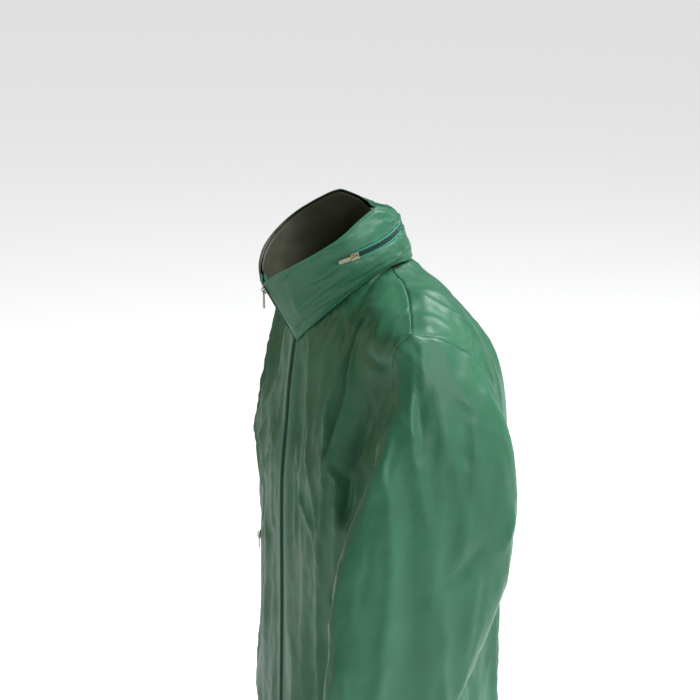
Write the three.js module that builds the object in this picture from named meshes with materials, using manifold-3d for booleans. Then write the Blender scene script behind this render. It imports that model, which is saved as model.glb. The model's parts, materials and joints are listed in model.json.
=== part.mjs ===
// A lightweight hip-length rain jacket: a full front zip, set-in sleeves with elastic cuffs, zipped side
// pockets, and a high stand collar whose back half is a zipped pocket with the rolled hood inside.
//
// The jacket is modelled as it hangs on a wearer's shoulders. Millimetres, +Z up, -Y to the front, +X to the
// wearer's left. The origin is the middle of the neck at the height where the collar meets the shoulder seams.
// Every cloth piece is a thin shell of the piece's outer shape, so the jacket stays hollow and open at the
// neck, the hem and the cuffs.
import * as THREE from "three";
import { mergeVertices } from "three/addons/utils/BufferGeometryUtils.js";
import Module from "manifold-3d";

const wasm = await Module();
wasm.setup();

// ---------- driving dimensions ----------
const CLOTH = 1.2; // wall of a cloth shell
const TAPE = 0.7; // wall of a zip tape
const THIN_CLOTH = 0.8; // wall of a lining, pocket bag or label
const SEAM_GAP = 0.5; // each cloth edge stops this short of a flat seam
const ARMHOLE_GAP = 1.2; // and this short of a seam where two pieces meet at an angle
const SLEEVE_GAP = 4; // the sleeve starts this far from the armhole, clear of the body under the arm
const FRONT_GAP = 6.5; // from the centre front to the folded edge of a front panel

// The neck seam and the collar's top edge, from the centre front round the wearer's left to the centre back.
const NECK_SEAM = [
  [0, -118, -128], [30, -113, -111], [61, -92, -78], [81, -57, -43], [86, -26, -21], // front
  [80, 0, -13], // shoulder seam
  [64, 29, -12], [39, 43, -16], [0, 50, -16], // back
];
const COLLAR_TOP = [
  [0, -168, -40], [40, -158, -20], [70, -137, 0], [87, -109, 20], [92, -77, 41], [82, -52, 57], [76, -36, 70],
  [62, -9, 67], [44, 6, 58], [24, 8, 53], [0, 7, 53],
];
const SHOULDER_ON_SEAM = 5; // where the shoulder seam meets the neck seam, counted in points
const SHOULDER_ON_TOP = 6.5; // and the place above it on the top edge

// The hood zip lies on a circle that leans forward, round the back of the collar.
const HOOD_ZIP = { y: -58, z: 11.5, lean: 17, radius: 98, start: 81, shoulder: 116, slot: 6.5 };

// The shoulder seam from the neck out to the shoulder point, and the foot of the armhole.
const SHOULDER_SEAM = [[82, -1, -13], [120, -3, -27], [160, -12, -44], [234, -40, -69]];
const UNDERARM = [222, -12, -300];

// Horizontal sections of the body below the arms: half width, depths to front and back of the middle, and height.
const SECTION_POWER = 2.5; // 2 is an ellipse; more is squarer
const SECTION_MIDDLE = -12; // Y of the widest point
const CHEST = { half: 222, front: 128, back: 181, z: -334, sideZ: -300 };
const WAIST = { half: 231, front: 130, back: 176, z: -545, sideZ: -540 };
const HEM = { half: 240, front: 134, back: 172, z: -770, sideZ: -768 };

// Grid sizes. Pieces that are sewn together share the points along their seam.
const NECK_COLUMNS = 6;
const SHOULDER_COLUMNS = 6;
const ARMHOLE_ROWS = 8;
const SIDE_ROWS = 11;
const SLEEVE_ROWS = 15;
const BODY_ROWS = ARMHOLE_ROWS + SIDE_ROWS;
const BODY_COLUMNS = NECK_COLUMNS + SHOULDER_COLUMNS;
const SLEEVE_COLUMNS = 2 * ARMHOLE_ROWS;

const green = new THREE.Color(0.22, 0.48, 0.36);
const cloth = new THREE.MeshStandardMaterial({ color: green, roughness: 0.5, side: THREE.DoubleSide });
const lining = new THREE.MeshStandardMaterial({ color: new THREE.Color(0.1, 0.13, 0.09), roughness: 0.7 });
const tape = new THREE.MeshStandardMaterial({ color: new THREE.Color(0.06, 0.22, 0.15), roughness: 0.8 });
const teeth = new THREE.MeshStandardMaterial({ color: new THREE.Color(0.05, 0.2, 0.14), roughness: 0.45 });
const metal = new THREE.MeshStandardMaterial({
  color: new THREE.Color(0.55, 0.5, 0.38),
  roughness: 0.35,
  metalness: 1,
});
const elastic = new THREE.MeshStandardMaterial({ color: new THREE.Color(0.85, 0.85, 0.82), roughness: 0.8 });

const jacket = new THREE.Group();
const vector = (p) => new THREE.Vector3(...p);
const radians = THREE.MathUtils.degToRad;
const mix = THREE.MathUtils.lerp;
const smooth = (t) => THREE.MathUtils.smoothstep(t, 0, 1);

function addMesh(name, geometry, material, parent = jacket) {
  const mesh = new THREE.Mesh(geometry, material);
  mesh.name = name;
  parent.add(mesh);
  return mesh;
}

// ---------- sheets: grids of points, and the closed shells made from them ----------

// Points spaced evenly along a polyline.
function spaced(points, count) {
  const lengths = [0];
  for (let i = 1; i < points.length; i++) lengths.push(lengths[i - 1] + points[i].distanceTo(points[i - 1]));
  const total = lengths[lengths.length - 1];
  return Array.from({ length: count + 1 }, (_, k) => {
    const at = (total * k) / count;
    let i = 1;
    while (i < points.length - 1 && lengths[i] < at) i++;
    const share = (at - lengths[i - 1]) / (lengths[i] - lengths[i - 1]);
    return points[i - 1].clone().lerp(points[i], share);
  });
}

// The smooth curve through some points, as a polyline from point a to point b of them.
function through(points, a = 0, b = points.length - 1) {
  const curve = new THREE.CatmullRomCurve3(points, false, "centripetal");
  const steps = 24 * (b - a);
  const last = points.length - 1;
  return Array.from({ length: steps + 1 }, (_, k) => curve.getPoint(mix(a, b, k / steps) / last));
}

const mirrored = (grid) => grid.map((row) => row.map((p) => new THREE.Vector3(-p.x, p.y, p.z)).reverse());

// The outward normal at each point of a grid whose rows run down and whose columns run to the wearer's left.
function normals(grid, closed) {
  const rows = grid.length;
  const columns = grid[0].length;
  return grid.map((row, j) =>
    row.map((_, i) => {
      const left = closed ? grid[j][(i + columns - 1) % columns] : grid[j][Math.max(i - 1, 0)];
      const right = closed ? grid[j][(i + 1) % columns] : grid[j][Math.min(i + 1, columns - 1)];
      const along = right.clone().sub(left);
      const down = grid[Math.min(j + 1, rows - 1)][i].clone().sub(grid[Math.max(j - 1, 0)][i]);
      return down.cross(along).normalize();
    }),
  );
}

// The grid with its edges drawn in, to leave a gap at each seam.
function trimmed(grid, gaps, closed = false) {
  const rows = grid.length - 1;
  const columns = grid[0].length - 1;
  const drawn = (p, towards, gap) => p.clone().add(towards.clone().sub(p).setLength(gap));
  return grid.map((row, j) =>
    row.map((p, i) => {
      let q = p;
      if (j === 0 && gaps.top) q = drawn(q, grid[1][i], gaps.top);
      if (j === rows && gaps.bottom) q = drawn(q, grid[rows - 1][i], gaps.bottom);
      if (!closed && i === 0 && gaps.start) q = drawn(q, grid[j][1], gaps.start);
      if (!closed && i === columns && gaps.end) q = drawn(q, grid[j][columns - 1], gaps.end);
      return q;
    }),
  );
}

const moved = (grid, depth, closed = false) => {
  const normal = normals(grid, closed);
  return grid.map((row, j) =>
    row.map((p, i) => p.clone().addScaledVector(normal[j][i], depth(j, i))),
  );
};

// A closed body between an outer and an inner grid of the same size. hole(j, i) leaves a cell out.
function between(outer, inner, closed = false, hole = () => false) {
  const rows = outer.length - 1;
  const columns = closed ? outer[0].length : outer[0].length - 1;
  const width = outer[0].length;
  const points = [...outer.flat(), ...inner.flat()];
  const index = [];
  const there = (j, i) => {
    if (j < 0 || j >= rows) return false;
    if (closed) return !hole(j, (i + columns) % columns);
    return i >= 0 && i < columns && !hole(j, i);
  };
  const at = (layer, j, i) => layer * outer.length * width + j * width + (i % width);
  const quad = (a, b, c, d) => index.push(a, b, c, a, c, d);
  for (let j = 0; j < rows; j++)
    for (let i = 0; i < columns; i++) {
      if (!there(j, i)) continue;
      const [a, b, c, d] = [at(0, j, i), at(0, j + 1, i), at(0, j + 1, i + 1), at(0, j, i + 1)];
      const [e, f, g, h] = [at(1, j, i), at(1, j + 1, i), at(1, j + 1, i + 1), at(1, j, i + 1)];
      quad(a, b, c, d);
      quad(e, h, g, f);
      if (!there(j - 1, i)) quad(a, d, h, e);
      if (!there(j + 1, i)) quad(b, f, g, c);
      if (!there(j, i - 1)) quad(a, e, f, b);
      if (!there(j, i + 1)) quad(d, c, g, h);
    }
  const geometry = new THREE.BufferGeometry().setFromPoints(points);
  geometry.setIndex(index);
  const flat = geometry.toNonIndexed();
  flat.computeVertexNormals();
  return flat;
}

// A cloth piece: a thin shell centred on a grid, or depth inside it.
function sheet(grid, { closed = false, depth = 0, wall = CLOTH, hole } = {}) {
  const at = typeof depth === "function" ? depth : () => depth;
  const outer = moved(grid, (j, i) => wall / 2 - at(j, i), closed);
  const inner = moved(grid, (j, i) => -wall / 2 - at(j, i), closed);
  return between(outer, inner, closed, hole);
}

// ---------- the collar ----------
const lean = radians(HOOD_ZIP.lean);
const zipAxis = new THREE.Vector3(0, -Math.sin(lean), Math.cos(lean));
const zipCentre = new THREE.Vector3(0, HOOD_ZIP.y, HOOD_ZIP.z);

// A point round the hood zip's circle. The angle runs from the front to the wearer's left and on to the back.
function zipPoint(angle, height = 0, radius = HOOD_ZIP.radius) {
  const a = radians(angle);
  const out = new THREE.Vector3(Math.sin(a), -Math.cos(a) * Math.cos(lean), -Math.cos(a) * Math.sin(lean));
  return zipCentre.clone().addScaledVector(out, radius).addScaledVector(zipAxis, height);
}

// A ring as columns: evenly spaced to the shoulder seam, and evenly spaced from there to the centre back.
function halfRing(points, shoulderAt) {
  const line = points.map(vector);
  const front = spaced(through(line, 0, shoulderAt), NECK_COLUMNS);
  const back = spaced(through(line, shoulderAt), NECK_COLUMNS);
  front[0].x = FRONT_GAP;
  back[NECK_COLUMNS].x = 0;
  return [...front, ...back.slice(1)];
}
const neckRing = halfRing(NECK_SEAM, SHOULDER_ON_SEAM);
const topRing = halfRing(COLLAR_TOP, SHOULDER_ON_TOP);
const ringAngles = neckRing.map((_, k) =>
  k <= NECK_COLUMNS
    ? (HOOD_ZIP.shoulder * k) / NECK_COLUMNS
    : mix(HOOD_ZIP.shoulder, 180, (k - NECK_COLUMNS) / NECK_COLUMNS),
);

const BELOW_ZIP = 3; // rows of the collar under the zip
const ABOVE_ZIP = 3; // and over it

// One column of the outer collar from the top edge down: a straight line in front, and a bulge over the zip behind.
function collarColumn(k) {
  const [base, top] = [neckRing[k], topRing[k]];
  const [lower, upper] = [-1, 1].map((side) => zipPoint(ringAngles[k], side * HOOD_ZIP.slot));
  const total = base.distanceTo(lower) + 2 * HOOD_ZIP.slot + upper.distanceTo(top);
  const packed = smooth((ringAngles[k] - 30) / 25);
  const lowerShare = base.distanceTo(lower) / total;
  const upperShare = lowerShare + (2 * HOOD_ZIP.slot) / total;
  const knots = [
    base,
    base.clone().lerp(top, lowerShare).lerp(lower, packed),
    base.clone().lerp(top, upperShare).lerp(upper, packed),
    top,
  ];
  const below = spaced(through(knots, 0, 1), BELOW_ZIP);
  const above = spaced(through(knots, 2, 3), ABOVE_ZIP);
  return [...below, ...above].reverse();
}
const fromColumns = (list) => list[0].map((_, j) => list.map((column) => column[j]));
const collarLeft = fromColumns(neckRing.map((_, k) => collarColumn(k)));
// The whole ring from its left half: from the left front edge round the back to the right front edge.
const wholeRing = (half) => half.map((row, j) => [...row, ...mirrored(half)[j].slice(1)]);

// ---------- the body ----------
// The top edge of a half panel: round the neck from the centre, then out along the shoulder seam.
function topEdge(side) {
  const ring = side === "front" ? neckRing.slice(0, NECK_COLUMNS + 1) : neckRing.slice(NECK_COLUMNS).reverse();
  return [...ring, ...spaced(through(SHOULDER_SEAM.map(vector)), SHOULDER_COLUMNS).slice(1)];
}

// A quarter of a horizontal section, from the centre of the front or the back to the side seam.
function sectionRow(section, depth, sign, startX, count) {
  const points = Array.from({ length: 49 }, (_, k) => {
    const a = (Math.PI / 2) * (k / 48);
    const x = section.half * Math.sin(a) ** (2 / SECTION_POWER);
    const y = SECTION_MIDDLE + sign * depth * Math.cos(a) ** (2 / SECTION_POWER);
    return new THREE.Vector3(x, y, mix(section.z, section.sideZ, Math.sin(a) ** 3));
  });
  const row = spaced(points, count);
  row[0].x = startX;
  return row;
}

// Rows of the upper body, from the centre out to the armhole, below the neck and shoulder edge.
const UPPER_FRONT = [
  [
    [0, -123, -158], [54, -114, -136], [92, -84, -90], [102, -46, -42],
    [152, -58, -62], [194, -66, -80], [229, -64, -96],
  ],
  [
    [0, -128, -198], [60, -120, -190], [106, -100, -160], [128, -86, -112],
    [162, -82, -108], [194, -76, -120], [217, -66, -140],
  ],
  [
    [0, -132, -248], [62, -127, -244], [112, -120, -228], [148, -106, -200],
    [174, -92, -190], [194, -80, -190], [207, -68, -192],
  ],
  [
    [0, -137, -298], [63, -137, -296], [116, -132, -290], [156, -116, -276],
    [180, -100, -264], [196, -82, -256], [207, -60, -256],
  ],
];
const UPPER_BACK = [
  [
    [0, 81, -50], [32, 80, -48], [64, 73, -44], [98, 52, -34],
    [150, 34, -46], [198, 18, -66], [238, 5, -85],
  ],
  [
    [0, 129, -118], [42, 129, -114], [84, 126, -108], [120, 112, -98],
    [158, 90, -96], [196, 70, -104], [226, 56, -115],
  ],
  [
    [0, 158, -182], [50, 158, -178], [96, 154, -172], [136, 143, -164],
    [168, 124, -162], [190, 108, -168], [205, 98, -179],
  ],
  [
    [0, 168, -245], [54, 168, -240], [104, 163, -232], [144, 149, -224],
    [174, 130, -220], [192, 112, -222], [204, 98, -226],
  ],
  [
    [0, 170, -298], [55, 170, -294], [108, 165, -289], [152, 148, -282],
    [184, 121, -275], [202, 92, -272], [211, 64, -272],
  ],
];

// A half panel as a grid: each rib runs down from the neck or the shoulder, through the rows, to the hem.
function halfPanel(upper, side) {
  const columns = BODY_COLUMNS;
  const sign = side === "front" ? -1 : 1;
  const startX = side === "front" ? FRONT_GAP : 0;
  const rows = [topEdge(side)];
  for (const row of upper) {
    const points = row.map(vector);
    points[0].x = startX;
    const fine = through(points);
    rows.push(Array.from({ length: columns + 1 }, (_, i) => fine[(i * (fine.length - 1)) / columns]));
  }
  for (const section of [CHEST, WAIST, HEM]) rows.push(sectionRow(section, section[side], sign, startX, columns));
  const chestRow = upper.length + 1;
  rows[chestRow][columns] = vector(UNDERARM);
  const ribs = Array.from({ length: columns + 1 }, (_, i) => {
    const points = rows.map((row) => row[i]);
    // The side seam's curve starts afresh at the underarm, so that the front and the back share it.
    const lower = i === columns ? through(points.slice(chestRow)) : through(points, chestRow);
    return [...spaced(through(points, 0, chestRow), ARMHOLE_ROWS), ...spaced(lower, SIDE_ROWS).slice(1)];
  });
  return Array.from({ length: ARMHOLE_ROWS + SIDE_ROWS + 1 }, (_, j) => ribs.map((rib) => rib[j]));
}

const frontLeft = halfPanel(UPPER_FRONT, "front");
const backLeft = halfPanel(UPPER_BACK, "back");
// Columns run to the wearer's left on the front, and to the right on the back.
const backRight = mirrored(backLeft).map((row) => row.reverse());
const backGrid = backLeft.map((row, j) => [...row.slice().reverse(), ...backRight[j].slice(1)]);

const panelGaps = { top: ARMHOLE_GAP, bottom: 0, start: 0, end: SEAM_GAP };
const frontGrid = trimmed(frontLeft, panelGaps);
addMesh("back_panel", sheet(trimmed(backGrid, { ...panelGaps, start: SEAM_GAP })), cloth);

// ---------- sleeves ----------
// Rings of a sleeve from the cap to the wrist: middle, reach outwards and upwards on the outer side, half breadth.
// The left arm is brought forward a little. The right one hangs down and slightly back.
const LEFT_SLEEVE_RINGS = [
  { middle: [260, -3, -250], out: 22, up: 76, breadth: 103 },
  { middle: [270, -20, -335], out: 34, up: 34, breadth: 126 },
  { middle: [277, -47, -430], out: 36, up: 12, breadth: 129 },
  { middle: [283, -74, -525], out: 35, up: 4, breadth: 112 },
  { middle: [287, -98, -605], out: 33, up: 0, breadth: 86 },
  { middle: [288, -114, -664], out: 30, up: 0, breadth: 58 },
];
const RIGHT_SLEEVE_RINGS = [
  { middle: [261, 24, -250], out: 22, up: 76, breadth: 84 },
  { middle: [268, 34, -335], out: 33, up: 34, breadth: 92 },
  { middle: [272, 38, -430], out: 35, up: 12, breadth: 94 },
  { middle: [275, 32, -525], out: 34, up: 4, breadth: 88 },
  { middle: [277, 22, -605], out: 32, up: 0, breadth: 76 },
  { middle: [278, 14, -664], out: 30, up: 0, breadth: 58 },
];
const SLEEVE_POWER = 2.3;

function sleeveRing(ring, column) {
  const a = (2 * Math.PI * column) / SLEEVE_COLUMNS;
  const squared = (value) => Math.sign(value) * Math.abs(value) ** (2 / SLEEVE_POWER);
  const c = squared(Math.cos(a));
  const s = squared(Math.sin(a));
  const [x, y, z] = ring.middle;
  return new THREE.Vector3(x + ring.out * c, y - ring.breadth * s, z + ring.up * c);
}

// The armhole as the sleeve's first ring: down the front from the shoulder, and up the back.
const armhole = [
  ...Array.from({ length: ARMHOLE_ROWS }, (_, j) => frontLeft[j][BODY_COLUMNS]),
  ...Array.from({ length: ARMHOLE_ROWS }, (_, j) => backLeft[ARMHOLE_ROWS - j][BODY_COLUMNS]),
];
// Seen from outside, the columns run from the front to the back of the left sleeve.
function sleeveGrid(rings) {
  const ribs = armhole.map((start, i) =>
    spaced(through([start, ...rings.map((ring) => sleeveRing(ring, i))]), SLEEVE_ROWS),
  );
  const grid = Array.from({ length: SLEEVE_ROWS + 1 }, (_, j) => ribs.map((rib) => rib[j]).reverse());
  return trimmed(grid, { top: SLEEVE_GAP, bottom: 0 }, true);
}
addMesh("sleeve_left", sheet(sleeveGrid(LEFT_SLEEVE_RINGS), { closed: true }), cloth);
addMesh("sleeve_right", sheet(mirrored(sleeveGrid(RIGHT_SLEEVE_RINGS)), { closed: true }), cloth);

// ---------- cuffs ----------
const CUFF_LENGTH = 42;
const CUFF_SLOPE = 0.26; // how far the cuff comes forward for each millimetre down
const CUFF_TAPER = 0.12; // how much half breadth it loses for each millimetre down
const CUFF_ROWS = 3;
function cuffGrid(wrist, from, to, inset) {
  return Array.from({ length: CUFF_ROWS + 1 }, (_, j) => {
    const down = mix(from, to, j / CUFF_ROWS);
    const [x, y, z] = wrist.middle;
    const ring = {
      middle: [x, y - CUFF_SLOPE * down, z - down],
      out: wrist.out - inset,
      up: 0,
      breadth: wrist.breadth - inset - down * CUFF_TAPER,
    };
    return Array.from({ length: SLEEVE_COLUMNS }, (_, i) => sleeveRing(ring, i)).reverse();
  });
}
const ELASTIC_INSET = 3;
for (const [side, rings] of [["left", LEFT_SLEEVE_RINGS], ["right", RIGHT_SLEEVE_RINGS]]) {
  const turn = side === "left" ? (grid) => grid : mirrored;
  const wrist = rings[rings.length - 1];
  const cuff = turn(cuffGrid(wrist, 1, CUFF_LENGTH, 0));
  const band = turn(cuffGrid(wrist, 5, CUFF_LENGTH - 4, ELASTIC_INSET));
  addMesh(`cuff_${side}`, sheet(cuff, { closed: true }), cloth);
  addMesh(`cuff_elastic_${side}`, sheet(band, { closed: true }), elastic);
}

// ---------- patches: smaller sheets that follow a part of a bigger grid ----------
// Rows and columns are counted in cells of the grid, and may be fractions.
function patch(grid, rows, columns, cells) {
  const at = (r, c) => {
    const j = Math.min(Math.floor(r), grid.length - 2);
    const i = Math.min(Math.floor(c), grid[0].length - 2);
    const upper = grid[j][i].clone().lerp(grid[j][i + 1], c - i);
    const lower = grid[j + 1][i].clone().lerp(grid[j + 1][i + 1], c - i);
    return upper.lerp(lower, r - j);
  };
  return Array.from({ length: cells[0] + 1 }, (_, j) =>
    Array.from({ length: cells[1] + 1 }, (_, i) =>
      at(mix(rows[0], rows[1], j / cells[0]), mix(columns[0], columns[1], i / cells[1])),
    ),
  );
}

// The turned-up hem is a second layer inside each panel.
const HEM_TURN = 0.55; // rows of the grid
const LINING_DEPTH = 2;
const hemRange = [BODY_ROWS - HEM_TURN, BODY_ROWS];
const hemFront = patch(frontLeft, hemRange, [3, BODY_COLUMNS - 0.3], [1, BODY_COLUMNS - 3]);
const hemBack = patch(backGrid, hemRange, [0.3, 2 * BODY_COLUMNS - 0.3], [1, 2 * BODY_COLUMNS]);
addMesh("hem_facing_left", sheet(hemFront, { depth: LINING_DEPTH }), cloth);
addMesh("hem_facing_right", sheet(mirrored(hemFront), { depth: LINING_DEPTH }), cloth);
addMesh("hem_facing_back", sheet(hemBack, { depth: LINING_DEPTH }), cloth);
// A blank label on the inside of the back, under the neck seam.
const labelPatch = patch(backGrid, [0.5, 1.5], [BODY_COLUMNS - 1.6, BODY_COLUMNS + 1.6], [2, 4]);
addMesh("neck_label", sheet(labelPatch, { depth: LINING_DEPTH, wall: THIN_CLOTH }), elastic);

// ---------- collar ----------
const collarGrid = wholeRing(collarLeft);
const columnAngles = [...ringAngles, ...ringAngles.slice(0, -1).reverse()];
const middleAngle = (i) => (columnAngles[i] + columnAngles[i + 1]) / 2;
const inSlot = (j, i) => j === ABOVE_ZIP && middleAngle(i) > HOOD_ZIP.start;
const collarTrim = trimmed(collarGrid, { top: 0, bottom: ARMHOLE_GAP });
addMesh("collar_outer", sheet(collarTrim, { hole: inSlot }), cloth);

// The lining runs straight from the seam to the top edge, inside the outer collar.
const LINING_ROWS = 4;
const COLLAR_INSET = 3.8;
const liningLeft = fromColumns(
  neckRing.map((base, k) =>
    Array.from({ length: LINING_ROWS + 1 }, (_, j) => topRing[k].clone().lerp(base, j / LINING_ROWS)),
  ),
);
const liningGrid = trimmed(wholeRing(liningLeft), { top: 1.5, bottom: 2.5, start: 8, end: 8 });
addMesh("collar_lining", sheet(liningGrid, { depth: COLLAR_INSET, wall: THIN_CLOTH }), lining);

// ---------- solids ----------
// A closed solid through rings of points, with flat ends.
function loft(rings) {
  const size = rings[0].length;
  const points = rings.flat();
  const index = [];
  for (let j = 0; j < rings.length - 1; j++)
    for (let i = 0; i < size; i++) {
      const [a, b] = [j * size + i, j * size + ((i + 1) % size)];
      index.push(a, b, b + size, a, b + size, a + size);
    }
  for (const [row, flip] of [[0, true], [rings.length - 1, false]]) {
    const centre = points.length;
    points.push(rings[row].reduce((sum, p) => sum.add(p), new THREE.Vector3()).divideScalar(size));
    for (let i = 0; i < size; i++) {
      const pair = [row * size + i, row * size + ((i + 1) % size)];
      index.push(centre, ...(flip ? pair.reverse() : pair));
    }
  }
  let volume = 0;
  for (let t = 0; t < index.length; t += 3) {
    const [a, b, c] = [points[index[t]], points[index[t + 1]], points[index[t + 2]]];
    volume += a.dot(b.clone().cross(c));
  }
  if (volume < 0) index.reverse();
  const geometry = new THREE.BufferGeometry().setFromPoints(points);
  geometry.setIndex(index);
  const flat = geometry.toNonIndexed();
  flat.computeVertexNormals();
  return flat;
}

function toSolid(geometry) {
  const plain = geometry.clone();
  plain.deleteAttribute("normal");
  plain.deleteAttribute("uv");
  const merged = mergeVertices(plain, 1e-4);
  const triVerts = Uint32Array.from(merged.index.array);
  const vertProperties = merged.attributes.position.array;
  return new wasm.Manifold(new wasm.Mesh({ numProp: 3, vertProperties, triVerts }));
}
function fromSolid(solid) {
  const mesh = solid.getMesh();
  const geometry = new THREE.BufferGeometry();
  geometry.setAttribute("position", new THREE.BufferAttribute(mesh.vertProperties, 3));
  geometry.setIndex(new THREE.BufferAttribute(mesh.triVerts, 1));
  const flat = geometry.toNonIndexed();
  flat.computeVertexNormals();
  return flat;
}
const joined = (...list) => fromSolid(list.map(toSolid).reduce((a, b) => a.add(b)));
const cut = (body, ...tools) => fromSolid(tools.map(toSolid).reduce((a, b) => a.subtract(b), toSolid(body)));

const block = (size, at = [0, 0, 0]) => new THREE.BoxGeometry(...size).translate(...at);

// Move a geometry into a frame given by its origin and its Y and Z directions.
function placed(geometry, origin, y, z) {
  const x = y.clone().cross(z).normalize();
  const basis = new THREE.Matrix4().makeBasis(x, y.clone().normalize(), z.clone().normalize());
  return geometry.clone().applyMatrix4(basis.setPosition(origin));
}

// A flat shape with an optional rectangular hole, extruded along Z about z = 0.
function plate(outline, thickness, hole) {
  const shape = new THREE.Shape(outline.map((p) => new THREE.Vector2(...p)));
  if (hole) {
    const [x0, y0, x1, y1] = hole;
    const corners = [[x0, y0], [x0, y1], [x1, y1], [x1, y0]];
    shape.holes.push(new THREE.Path(corners.map((p) => new THREE.Vector2(...p))));
  }
  const geometry = new THREE.ExtrudeGeometry(shape, { depth: thickness, bevelEnabled: false });
  return geometry.translate(0, 0, -thickness / 2);
}

// ---------- zip parts, in a frame with Y along the zip towards its closed end and Z outwards ----------
const TOOTH = { inner: 0.75, outer: 3.2, thick: 2.4 };
const TAPE_INNER = 3.5;
const SLIDER = { width: 9.5, length: 12, plate: 1, half: 2.6, bar: 3.9 };

function sliderGeometry() {
  const { width, length, plate: wall, half } = SLIDER;
  const plates = [-1, 1].map((side) => block([width, length, wall], [0, 0, side * (half - wall / 2)]));
  const post = block([0.8, 3, 2 * half - wall], [0, 4, 0]);
  const outer = [[-4.5, 2.3], [4.5, 2.3], [4.5, 5.4], [3.4, 6.4], [-3.4, 6.4], [-4.5, 5.4]];
  const bail = plate(outer, 1.6, [-3.4, 2.6, 3.4, 5.3]);
  // The bail is drawn in its own plane, which is the slider's Y and Z.
  const upright = new THREE.Matrix4().makeBasis(
    new THREE.Vector3(0, 1, 0),
    new THREE.Vector3(0, 0, 1),
    new THREE.Vector3(1, 0, 0),
  );
  return joined(...plates, post, bail.applyMatrix4(upright));
}

// The puller hangs from its own top bar, which turns inside the slider's bail.
function pullerGeometry(length = 25) {
  const [half, end] = [2.8, 0.75];
  const corner = 2;
  const outline = [
    [-half, end], [-half, corner - length], [1.2 - half, -length],
    [half - 1.2, -length], [half, corner - length], [half, end],
  ];
  return plate(outline, 1.2, [-1.4, -6.8, 1.4, -0.75]);
}

function addSlider(name, origin, y, z, hang) {
  const slider = addMesh(`${name}_slider`, placed(sliderGeometry(), origin, y, z), metal);
  const bar = origin.clone().addScaledVector(z.clone().normalize(), SLIDER.bar);
  const up = hang.clone().negate().normalize();
  const across = y.clone().cross(z).normalize();
  const puller = addMesh(`${name}_puller`, placed(pullerGeometry(), bar, up, across.clone().cross(up)), metal);
  // Where the joints are: the slider opens the zip along its own -Y, and the puller turns on its bar.
  slider.userData = { opens: y.clone().negate().toArray() };
  puller.userData = { bar: bar.toArray(), axis: across.toArray() };
}

// ---------- front zip ----------
const edgeColumn = [...collarLeft.map((row) => row[0]), ...frontLeft.slice(1).map((row) => row[0])];
const secondColumn = [...collarLeft.map((row) => row[1]), ...frontLeft.slice(1).map((row) => row[1])];
const edgeLine = edgeColumn.map((p) => new THREE.Vector3(0, p.y, p.z));
const edgeLengths = [0];
for (let i = 1; i < edgeLine.length; i++)
  edgeLengths.push(edgeLengths[i - 1] + edgeLine[i].distanceTo(edgeLine[i - 1]));
const edgeLength = edgeLengths[edgeLengths.length - 1];

// The stretch of a column between two distances down the front edge.
function stretch(column, from, to) {
  const at = (distance) => {
    let i = 1;
    while (i < column.length - 1 && edgeLengths[i] < distance) i++;
    const share = (distance - edgeLengths[i - 1]) / (edgeLengths[i] - edgeLengths[i - 1]);
    return column[i - 1].clone().lerp(column[i], share);
  };
  const inner = column.filter((_, i) => edgeLengths[i] > from + 3 && edgeLengths[i] < to - 3);
  return [at(from), ...inner.map((p) => p.clone()), at(to)];
}
const withX = (line, x) => line.map((p) => new THREE.Vector3(x, p.y, p.z));

const TEETH_FROM = 6.4; // down the edge from the collar's top
const BOX_LENGTH = 12;
const teethLine = stretch(edgeLine, TEETH_FROM, edgeLength - BOX_LENGTH - 1);
const teethGrid = fromColumns([withX(teethLine, TOOTH.inner), withX(teethLine, TOOTH.outer)]);
const frontTeeth = sheet(teethGrid, { wall: TOOTH.thick });
addMesh("front_zip_teeth_left", frontTeeth, teeth);
addMesh("front_zip_teeth_right", sheet(mirrored(teethGrid), { wall: TOOTH.thick }), teeth);

// Each tape runs from the teeth to under the folded edge of its panel.
const tapeLines = [edgeColumn, edgeColumn, secondColumn].map((line) => stretch(line, 1, edgeLength - 1));
const tapeGrid = fromColumns([
  withX(tapeLines[0], TAPE_INNER),
  tapeLines[1],
  tapeLines[2].map((p, i) => tapeLines[1][i].clone().lerp(p, 0.45)),
]);
// The inner edge of the tape lies level with the teeth, and the rest goes behind the cloth.
const tapeDepth = (j, i) => (i === 0 ? 0.6 : 1.7);
addMesh("front_zip_tape_left", sheet(tapeGrid, { depth: tapeDepth, wall: TAPE }), tape);
const tapeRight = mirrored(tapeGrid);
addMesh("front_zip_tape_right", sheet(tapeRight, { depth: (j, i) => tapeDepth(j, 2 - i), wall: TAPE }), tape);

const edgeUp = edgeLine[0].clone().sub(edgeLine[1]).normalize();
const edgeOut = new THREE.Vector3(1, 0, 0).cross(edgeUp);
const SLIDER_FROM_TOP = 13;
const sliderAt = edgeLine[0].clone().addScaledVector(edgeUp, -SLIDER_FROM_TOP);
addSlider("front_zip", sliderAt, edgeUp, edgeOut, new THREE.Vector3(0, 0, -1));

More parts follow.
